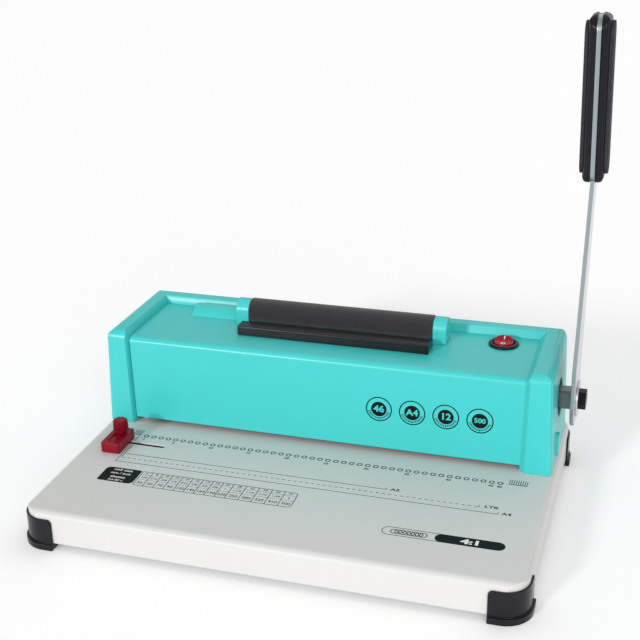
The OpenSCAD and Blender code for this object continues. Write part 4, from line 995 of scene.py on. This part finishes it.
def foam_roller(soft):
    """A foam tube with rounded cut ends and a slightly uneven skin."""
    low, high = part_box("foam_sleeve")
    swell, bore, uneven, grain = 0.5 * MM, 5.1 * MM, 0.07 * MM, 160.0
    rings, count = 44, 96
    radius = (high.z - low.z) / 2 + swell
    length = high.x - low.x
    axis = Vector((low.x, (low.y + high.y) / 2, (low.z + high.z) / 2))
    cut_end = [(bore, 0.3 * MM), (bore + 1.2 * MM, 0.0), (radius - soft, 0.0)]
    for degrees in (25, 50, 75):
        a = math.radians(degrees)
        cut_end.append((radius - soft * (1 - math.sin(a)), soft * (1 - math.cos(a))))
    skin = [(radius, soft + (length - 2 * soft) * k / rings) for k in range(rings + 1)]
    far_end = [(r, length - h) for r, h in reversed(cut_end)]
    bm = bmesh.new()
    place = Matrix.Translation(axis) @ Matrix.Rotation(math.radians(90), 4, "Y")
    lathe(bm, cut_end + skin + far_end + cut_end[:1], count, place)
    bmesh.ops.remove_doubles(bm, verts=bm.verts, dist=0.001 * MM)
    for vertex in bm.verts:
        away = Vector((0.0, vertex.co.y - axis.y, vertex.co.z - axis.z))
        if away.length > bore + 2 * MM:
            vertex.co -= away.normalized() * uneven * (1 + noise.noise(vertex.co * grain))
    return closed_piece("foam_roller", bm)


# The rocker's lens, in millimetres from its pivot
LENS_RADIUS = 7.7
LENS_RIM = 0.5


def lens_height(r, y):
    """Height of the rocker's dished face, which falls off at its round rim."""
    crest, dip, width = 3.7, 1.4, 4.6
    drop = max(0.0, r - (LENS_RADIUS - LENS_RIM)) / LENS_RIM
    fall = LENS_RIM * (1 - math.sqrt(max(0.0, 1 - drop * drop)))
    return crest - dip * math.exp(-(y / width) ** 2) - fall


def rocker_lens(place):
    """The rocker's round lens: a dished face on a straight skirt."""
    rings, count, foot = 14, 72, -2.4
    bm = bmesh.new()
    loops = []
    for k in range(1, rings + 1):
        r = LENS_RADIUS * math.sin(math.pi / 2 * k / rings)
        loops.append([bm.verts.new(place @ Vector((x, y, lens_height(r, y))))
                      for x, y in circle((0, 0), r, count)])
    loops.append([bm.verts.new(place @ Vector((x, y, foot))) for x, y in circle((0, 0), LENS_RADIUS, count)])
    centre = bm.verts.new(place @ Vector((0, 0, lens_height(0, 0))))
    for i in range(count):
        j = (i + 1) % count
        bm.faces.new((centre, loops[0][i], loops[0][j]))
        for a, b in zip(loops, loops[1:]):
            bm.faces.new((a[i], b[i], b[j], a[j]))
    bm.faces.new(list(reversed(loops[-1])))
    return closed_piece("rocker_lens", bm)


def ribbon(bm, pairs, closed, place):
    """Adds a thin band that follows the rocker's face between pairs of points."""
    above, below = 0.06, -0.25
    rings = []
    for (x0, y0), (x1, y1) in pairs:
        spots = ((x0, y0, above), (x1, y1, above), (x1, y1, below), (x0, y0, below))
        rings.append([bm.verts.new(place @ Vector((x, y, lens_height(math.hypot(x, y), y) + lift)))
                      for x, y, lift in spots])
    following = rings[1:] + rings[:1] if closed else rings[1:]
    for a, b in zip(rings, following):
        for i in range(4):
            j = (i + 1) % 4
            bm.faces.new((a[i], a[j], b[j], b[i]))
    if not closed:
        bm.faces.new(rings[0])
        bm.faces.new(rings[-1])


def rocker_marks(place):
    """A bar and a ring on the rocker's face, for on and off."""
    bar_half, bar_start, bar_step, bar_points = 0.42, 2.6, 0.5, 8
    ring_centre, ring_inner, ring_outer, sides = (0.0, -4.0), 1.15, 1.9, 36
    bm = bmesh.new()
    steps = [bar_start + bar_step * k for k in range(bar_points)]
    ribbon(bm, [((-bar_half, y), (bar_half, y)) for y in steps], False, place)
    ring = zip(circle(ring_centre, ring_inner, sides), circle(ring_centre, ring_outer, sides))
    ribbon(bm, ring, True, place)
    return closed_piece("rocker_marks", bm)


def lever_tang():
    """The bar's upper end, which fills the grip's outline between the two scales."""
    inset, sideways = 0.6 * MM, 0.9
    inner, outer = solid_copy("grip_inner"), solid_copy("grip_outer")
    near = max((f for f in inner.faces if f.normal.x > sideways), key=lambda f: f.calc_area())
    far = max((f for f in outer.faces if f.normal.x < -sideways), key=lambda f: f.calc_area())
    normal, origin = near.normal.copy(), near.verts[0].co.copy()
    gap = (far.verts[0].co - origin).dot(normal)
    along = Vector((0.0, 1.0, 0.0))
    up = normal.cross(along)
    spots = [((v.co - origin).dot(along), (v.co - origin).dot(up)) for v in inner.verts]
    inner.free()
    outer.free()
    hull = [Vector(spots[i]) for i in geometry.convex_hull_2d(spots)]
    centre = sum(hull, Vector((0.0, 0.0))) / len(hull)
    outline = [p - (p - centre).normalized() * inset for p in hull]
    place = Matrix.Translation(origin) @ Matrix((along, up, normal)).transposed().to_4x4()
    bm = bmesh.new()
    prism(bm, outline, 0.0, gap, place)
    return closed_piece("lever_tang", bm)


def mark_cut_edges(mesh, is_shaded_edge):
    """Marks each face for the lever's finish: 1 where its steel is painted darker, as shade on an edge that
    catches less light.
    """
    marks = mesh.attributes.new("cut_edge", "FLOAT", "FACE")
    marks.data.foreach_set("value", [1.0 if is_shaded_edge(face) else 0.0 for face in mesh.polygons])


def aimed(where, target, roll):
    """A camera's place, looking at the target and rolled about its line of sight."""
    forward = (target - where).normalized()
    right = forward.cross(Vector((0, 0, 1))).normalized()
    up = right.cross(forward)
    side = right * math.cos(roll) + up * math.sin(roll)
    head = up * math.cos(roll) - right * math.sin(roll)
    return Matrix.Translation(where) @ Matrix((side, head, -forward)).transposed().to_4x4()


# Operators

class BINDER_OT_base(Operator):
    """Base tray, bottom plate, corner feet and their screws"""

    bl_idname = "binder.base"
    bl_label = "Base"

    def execute(self, context):
        edge = context.scene.binder_sizes.edge_round
        dress("base_tray", "grey_paint", edge)
        dress("base_bottom_plate", "zinc_plate", edge * 0.4)
        for corner in ("front_left", "front_right", "rear_left", "rear_right"):
            dress("foot_" + corner, "black_plastic", edge, 3)
        low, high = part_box("foot_screws")
        head, head_height, shank = 3.9 * MM, 2.4 * MM, 2.0 * MM
        screw = cross_head_screw(head, head_height, shank, high.z - low.z)
        screws = grown("foot_screw_heads", "rows", screw, Columns=2, Rows=2,
                       Width=high.x - low.x - 2 * head, Depth=high.y - low.y - 2 * head,
                       Centre=underside("foot_screws"), Material=FINISHES["zinc_plate"])
        hand_over(soften(screws, 0.0), "frame", "zinc_plate", "foot_screws")
        carry("zinc_plate", "housing_screws")
        return {"FINISHED"}


class BINDER_OT_prints(Operator):
    """Hole marks, paper lines, size table and badges printed on the base"""

    bl_idname = "binder.prints"
    bl_label = "Base prints"

    def execute(self, context):
        sizes = context.scene.binder_sizes
        sheet = BasePrint(sizes.ink_height)
        print_hole_row(sheet, sizes.hole_count, sizes.hole_pitch / MM)
        print_paper_lines(sheet)
        print_combs(sheet)
        print_size_table(sheet)
        print_pitch_badge(sheet)
        sheet.finish()
        return {"FINISHED"}


class BINDER_OT_bin(Operator):
    """Waste bin at the back and its runners"""

    bl_idname = "binder.bin"
    bl_label = "Waste bin"

    def execute(self, context):
        dress("waste_bin", "black_plastic", context.scene.binder_sizes.edge_round)
        carry("zinc_plate", "bin_runners")
        return {"FINISHED"}


class BINDER_OT_edge_guide(Operator):
    """Sliding edge guide: block, clamp bolt and fluted knob"""

    bl_idname = "binder.edge_guide"
    bl_label = "Edge guide"

    def execute(self, context):
        sizes = context.scene.binder_sizes
        hand_over(soften(guide_block(), 0.7 * MM, 3), "edge_guide", "red_plastic", "edge_guide_block")
        carry("bright_steel", "edge_guide_bolt")
        knob = clamp_knob(sizes.flute_count, sizes.flute_depth)
        hand_over(soften(knob, 0.0), "guide_knob", "red_plastic", "edge_guide_knob")
        return {"FINISHED"}


class BINDER_OT_housing(Operator):
    """Housing shell with end caps and rear rim, and the folded front cover"""

    bl_idname = "binder.housing"
    bl_label = "Housing"

    def execute(self, context):
        edge = context.scene.binder_sizes.edge_round
        low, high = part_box("housing_shell")
        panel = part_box("coil_guide_bar")[0].z
        shell = solid_copy("housing_shell")
        set_caps(shell, low, high)
        shell = round_caps(shell, low, high)
        # The narrow rim underneath is cut into triangles, which stay inside it when its edges are softened.
        shell.normal_update()
        rim = [face for face in shell.faces if face.normal.z < -0.9]
        bmesh.ops.triangulate(shell, faces=rim)
        dress("housing_shell", "turquoise_paint", edge, shape=shell)
        dress("front_cover", "turquoise_paint", edge, shape=flat_cover(panel))
        hand_over(soften(motor_blister(panel), 0.0), "frame", "turquoise_paint")
        carry("zinc_plate", "cover_screws")
        return {"FINISHED"}


class BINDER_OT_panel_marks(Operator):
    """Round marks with plain figures on the front cover"""

    bl_idname = "binder.panel_marks"
    bl_label = "Cover marks"

    def execute(self, context):
        top = context.scene.binder_sizes.ink_height / MM
        upright = Matrix.Rotation(math.radians(90), 4, "X") @ FROM_MM
        place = Matrix.Translation((SHEET_X * MM, COVER_LOW.y, TRAY_HIGH.z)) @ upright
        first, step, height = 193.1, 26.05, 37.5
        figures = (("46", 7.6), ("A4", 7.3), ("12", 7.4), ("500", 5.4))
        width = step * (len(figures) - 1)
        marks = grown("cover_rings", "rows", dial_item(top, upright), Columns=len(figures), Rows=1,
                      Width=width * MM, Depth=0.0, Centre=place @ Vector((first + width / 2, height, 0.0)),
                      Material=FINISHES["dark_ink"])
        hand_over(marks, "frame", None, finish="dark_ink")
        bm = bmesh.new()
        for k, (words, size) in enumerate(figures):
            spot = place @ Matrix.Translation((first + step * k, height, top))
            lettering(bm, words, size, spot, widen=1.1, weight=0.03)
        bmesh.ops.remove_doubles(bm, verts=bm.verts, dist=0.0005 * MM)
        hand_over(piece("cover_figures", bm), "frame", "turquoise_paint")
        return {"FINISHED"}


class BINDER_OT_roller(Operator):
    """Coil roller with its foam sleeve, blocks, belt drive and the guide bar in front"""

    bl_idname = "binder.roller"
    bl_label = "Coil roller"

    def execute(self, context):
        bar = solid_copy("coil_guide_bar")
        rear, edge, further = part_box("coil_guide_bar")[1].y, 2.0 * MM, 1.8 * MM
        for vertex in bar.verts:
            if vertex.co.y > rear - edge:
                vertex.co.y += further
        dress("coil_guide_bar", "black_plastic", 0.9 * MM, 3, shape=bar)
        for side in ("left", "right"):
            dress(side + "_roller_block", "turquoise_paint", 0.7 * MM, 3)
        carry("bronze", "roller_bushes")
        carry("bright_steel", "roller_core")
        carry("black_plastic", "roller_pulley")
        carry("grip_rubber", "drive_belt")
        sleeve = soften(foam_roller(context.scene.binder_sizes.foam_round), 0.0)
        hand_over(sleeve, "roller", "roller_foam", "foam_sleeve")
        return {"FINISHED"}


class BINDER_OT_motor(Operator):
    """Gear motor under the blister, with its bracket and pulley"""

    bl_idname = "binder.motor"
    bl_label = "Motor"

    def execute(self, context):
        carry("bright_steel", "drive_motor", "motor_shaft")
        carry("zinc_plate", "motor_bracket")
        carry("black_plastic", "motor_pulley")
        return {"FINISHED"}


class BINDER_OT_switch(Operator):
    """Round switch: bezel, lens rocker and its two marks"""

    bl_idname = "binder.switch"
    bl_label = "Switch"

    def execute(self, context):
        dress("switch_body", "black_plastic", 0.3 * MM)
        tilt = joint("rocker_tilt")
        angle = math.radians(-tilt["range_deg"][0] / 2)
        place = Matrix.Translation(tilt["pos_m"]) @ Matrix.Rotation(angle, 4, "X") @ FROM_MM
        hand_over(soften(rocker_lens(place), 0.0), "rocker", "red_rocker", "rocker_button")
        hand_over(rocker_marks(place), "rocker", None, finish="light_ink")
        return {"FINISHED"}


class BINDER_OT_inlet(Operator):
    """Mains inlet on the back wall and its three blades"""

    bl_idname = "binder.inlet"
    bl_label = "Power inlet"

    def execute(self, context):
        dress("power_inlet", "black_plastic", 0.3 * MM)
        dress("inlet_blades", "contact_brass", 0.2 * MM, 1)
        return {"FINISHED"}


class BINDER_OT_punch(Operator):
    """Die set, pressure bar, punch pins, posts and return springs inside the housing"""

    bl_idname = "binder.punch"
    bl_label = "Punch"

    def execute(self, context):
        sizes = context.scene.binder_sizes
        carry("zinc_plate", "left_side_plate", "right_side_plate", "plate_screws", "die_screws")
        carry("bright_steel", "die_plate", "guide_plate", "guide_posts", "tie_rods", "pressure_bar",
              "back_stop", "follower_pads")
        low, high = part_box("punch_pins")
        radius, height = (high.y - low.y) / 2, high.z - low.z
        chamfer, lip = 0.4 * MM, 0.05 * MM
        bm = bmesh.new()
        profile = [(0, 0.35 * MM), (radius - 0.5 * MM, 0.1 * MM), (radius - lip, 0.0), (radius, lip),
                   (radius, height - chamfer), (radius - chamfer, height), (0, height)]
        lathe(bm, profile, 16, Matrix.Identity(4))
        pins = grown("punch_pin_row", "rows", closed_piece("pin_item", bm), Columns=sizes.hole_count, Rows=1,
                     Width=sizes.hole_pitch * (sizes.hole_count - 1), Depth=0.0,
                     Centre=underside("punch_pins"), Material=FINISHES["bright_steel"])
        hand_over(soften(pins, 0.0), "punch_carriage", "bright_steel", "punch_pins")

        low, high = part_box("return_springs")
        across, length, wire = high.y - low.y, high.z - low.z, 0.35 * MM
        x, y, z = underside("return_springs")
        springs = grown("return_coil_springs", "springs", Count=2, Width=high.x - low.x - across,
                        Foot=(x, y, z + wire), Turns=7.0, Radius=across / 2 - wire,
                        Height=length - 2 * wire, Wire=wire, Material=FINISHES["bright_steel"])
        hand_over(soften(springs, 0.0), "frame", "bright_steel", "return_springs")
        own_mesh(springs)
        return {"FINISHED"}


class BINDER_OT_lever(Operator):
    """Lever bar, its square shaft with cams, and the bolt that holds it"""

    bl_idname = "binder.lever"
    bl_label = "Lever"

    def execute(self, context):
        bar = dress("lever_arm", "lever_steel", 0.5 * MM, 3)
        # The bar's narrow edge faces are painted darker: painted shade.
        mark_cut_edges(bar.data, lambda face: abs(face.normal.x) < 0.6)
        dress("lever_shaft", "shaft_steel", 0.4 * MM)
        dress("lever_washer", "lever_steel", 0.4 * MM)
        dress("lever_bolt", "black_steel", 0.6 * MM, 3)
        carry("shaft_steel", "left_cam", "right_cam", "shaft_clip")
        carry("bright_steel", "cam_pins")
        carry("bronze", "shaft_bushes")
        return {"FINISHED"}


class BINDER_OT_grip(Operator):
    """Two grip scales with knurled pads on the lever's upper end"""

    bl_idname = "binder.grip"
    bl_label = "Grip"

    def execute(self, context):
        tang = hand_over(soften(lever_tang(), 0.3 * MM), "lever", "lever_steel")
        # The whole tang is painted in the darker edge colour: painted shade.
        mark_cut_edges(tang.data, lambda face: True)
        dress("grip_inner", "grip_plastic", 0.8 * MM, 3)
        dress("grip_outer", "grip_plastic", 0.8 * MM, 3)
        dress("grip_pads", "grip_rubber", 0.3 * MM)
        carry("zinc_plate", "grip_screws")
        return {"FINISHED"}


class BINDER_OT_stage(Operator):
    """Pale floor, soft lights and the camera"""

    bl_idname = "binder.stage"
    bl_label = "Stage"

    def execute(self, context):
        scene = context.scene
        bm = bmesh.new()
        bmesh.ops.create_grid(bm, x_segments=1, y_segments=1, size=6.0)
        floor = piece("studio_floor", bm)
        made = Finish("studio_paper", specular=0.2)
        made.colour(made.noise(3.0), (0.92, 0.92, 0.92), (0.95, 0.95, 0.95))
        made.rough(made.noise(40.0), 0.75, 0.9)
        made.shader.inputs["Emission Color"].default_value = (1.0, 1.0, 1.0, 1.0)
        made.shader.inputs["Emission Strength"].default_value = 0.14
        floor.data.materials.append(made.material)

        for name, toward, power, spread in (
                ("key_light", (-0.36, -0.88, 0.31), 1.35, 8.0),
                ("fill_light", (0.45, -0.8, 0.4), 0.9, 40.0),
                ("rear_light", (0.2, 0.7, 0.7), 0.35, 60.0)):
            data = bpy.data.lights.new(name, "SUN")
            data.energy = power
            data.angle = math.radians(spread)
            lamp = bpy.data.objects.new(name, data)
            lamp.rotation_euler = Vector(toward).to_track_quat("Z", "Y").to_euler()
            scene.collection.objects.link(lamp)
        world = bpy.data.worlds.new("studio")
        world.use_nodes = True
        sky = world.node_tree.nodes["Background"]
        sky.inputs["Color"].default_value = (1.0, 1.0, 1.0, 1.0)
        sky.inputs["Strength"].default_value = 0.58
        scene.world = world
        scene.view_settings.view_transform = "Standard"

        camera = bpy.data.objects.new("camera", bpy.data.cameras.new("camera"))
        camera.data.lens = scene.binder_sizes.camera_lens
        camera.data.sensor_width = 36.0
        camera.data.dof.use_dof = False
        desk = Vector((TRAY_MIDDLE.x, TRAY_MIDDLE.y, 0.0))
        where = desk + Vector((0.25513, -0.7810, 0.4814))
        target = desk + Vector((-0.00313, 0.0367, 0.1322))
        camera.matrix_world = aimed(where, target, math.radians(-1.09))
        scene.collection.objects.link(camera)
        scene.camera = camera
        return {"FINISHED"}


STEPS = (
    BINDER_OT_base, BINDER_OT_prints, BINDER_OT_bin, BINDER_OT_edge_guide, BINDER_OT_housing,
    BINDER_OT_panel_marks, BINDER_OT_roller, BINDER_OT_motor, BINDER_OT_switch, BINDER_OT_inlet,
    BINDER_OT_punch, BINDER_OT_lever, BINDER_OT_grip, BINDER_OT_stage,
)


class BINDER_PT_build(Panel):
    """Sizes, finishes and build steps of the binding machine"""

    bl_idname = "BINDER_PT_build"
    bl_label = "Coil binding machine"
    bl_space_type = "VIEW_3D"
    bl_region_type = "UI"
    bl_category = "Binder"

    def draw(self, context):
        for group in (context.scene.binder_finishes, context.scene.binder_sizes):
            column = self.layout.column(align=True)
            for name in group.__annotations__:
                column.prop(group, name)
        column = self.layout.column(align=True)
        for step in STEPS:
            column.operator(step.bl_idname)


CLASSES = (BinderFinishes, BinderSizes, *STEPS, BINDER_PT_build)


def register():
    for cls in CLASSES:
        bpy.utils.register_class(cls)
    bpy.types.Scene.binder_finishes = PointerProperty(type=BinderFinishes)
    bpy.types.Scene.binder_sizes = PointerProperty(type=BinderSizes)


def unregister():
    del bpy.types.Scene.binder_sizes
    del bpy.types.Scene.binder_finishes
    for cls in reversed(CLASSES):
        bpy.utils.unregister_class(cls)


def main():
    """Builds every piece in order."""
    register()
    FINISHES.update(make_finishes(bpy.context.scene.binder_finishes))
    TREES.update(rows=rows_tree(), ring=ring_tree(), springs=spring_tree())
    for step in STEPS:
        group, name = step.bl_idname.split(".")
        getattr(getattr(bpy.ops, group), name)()


if __name__ == "__main__":
    main()
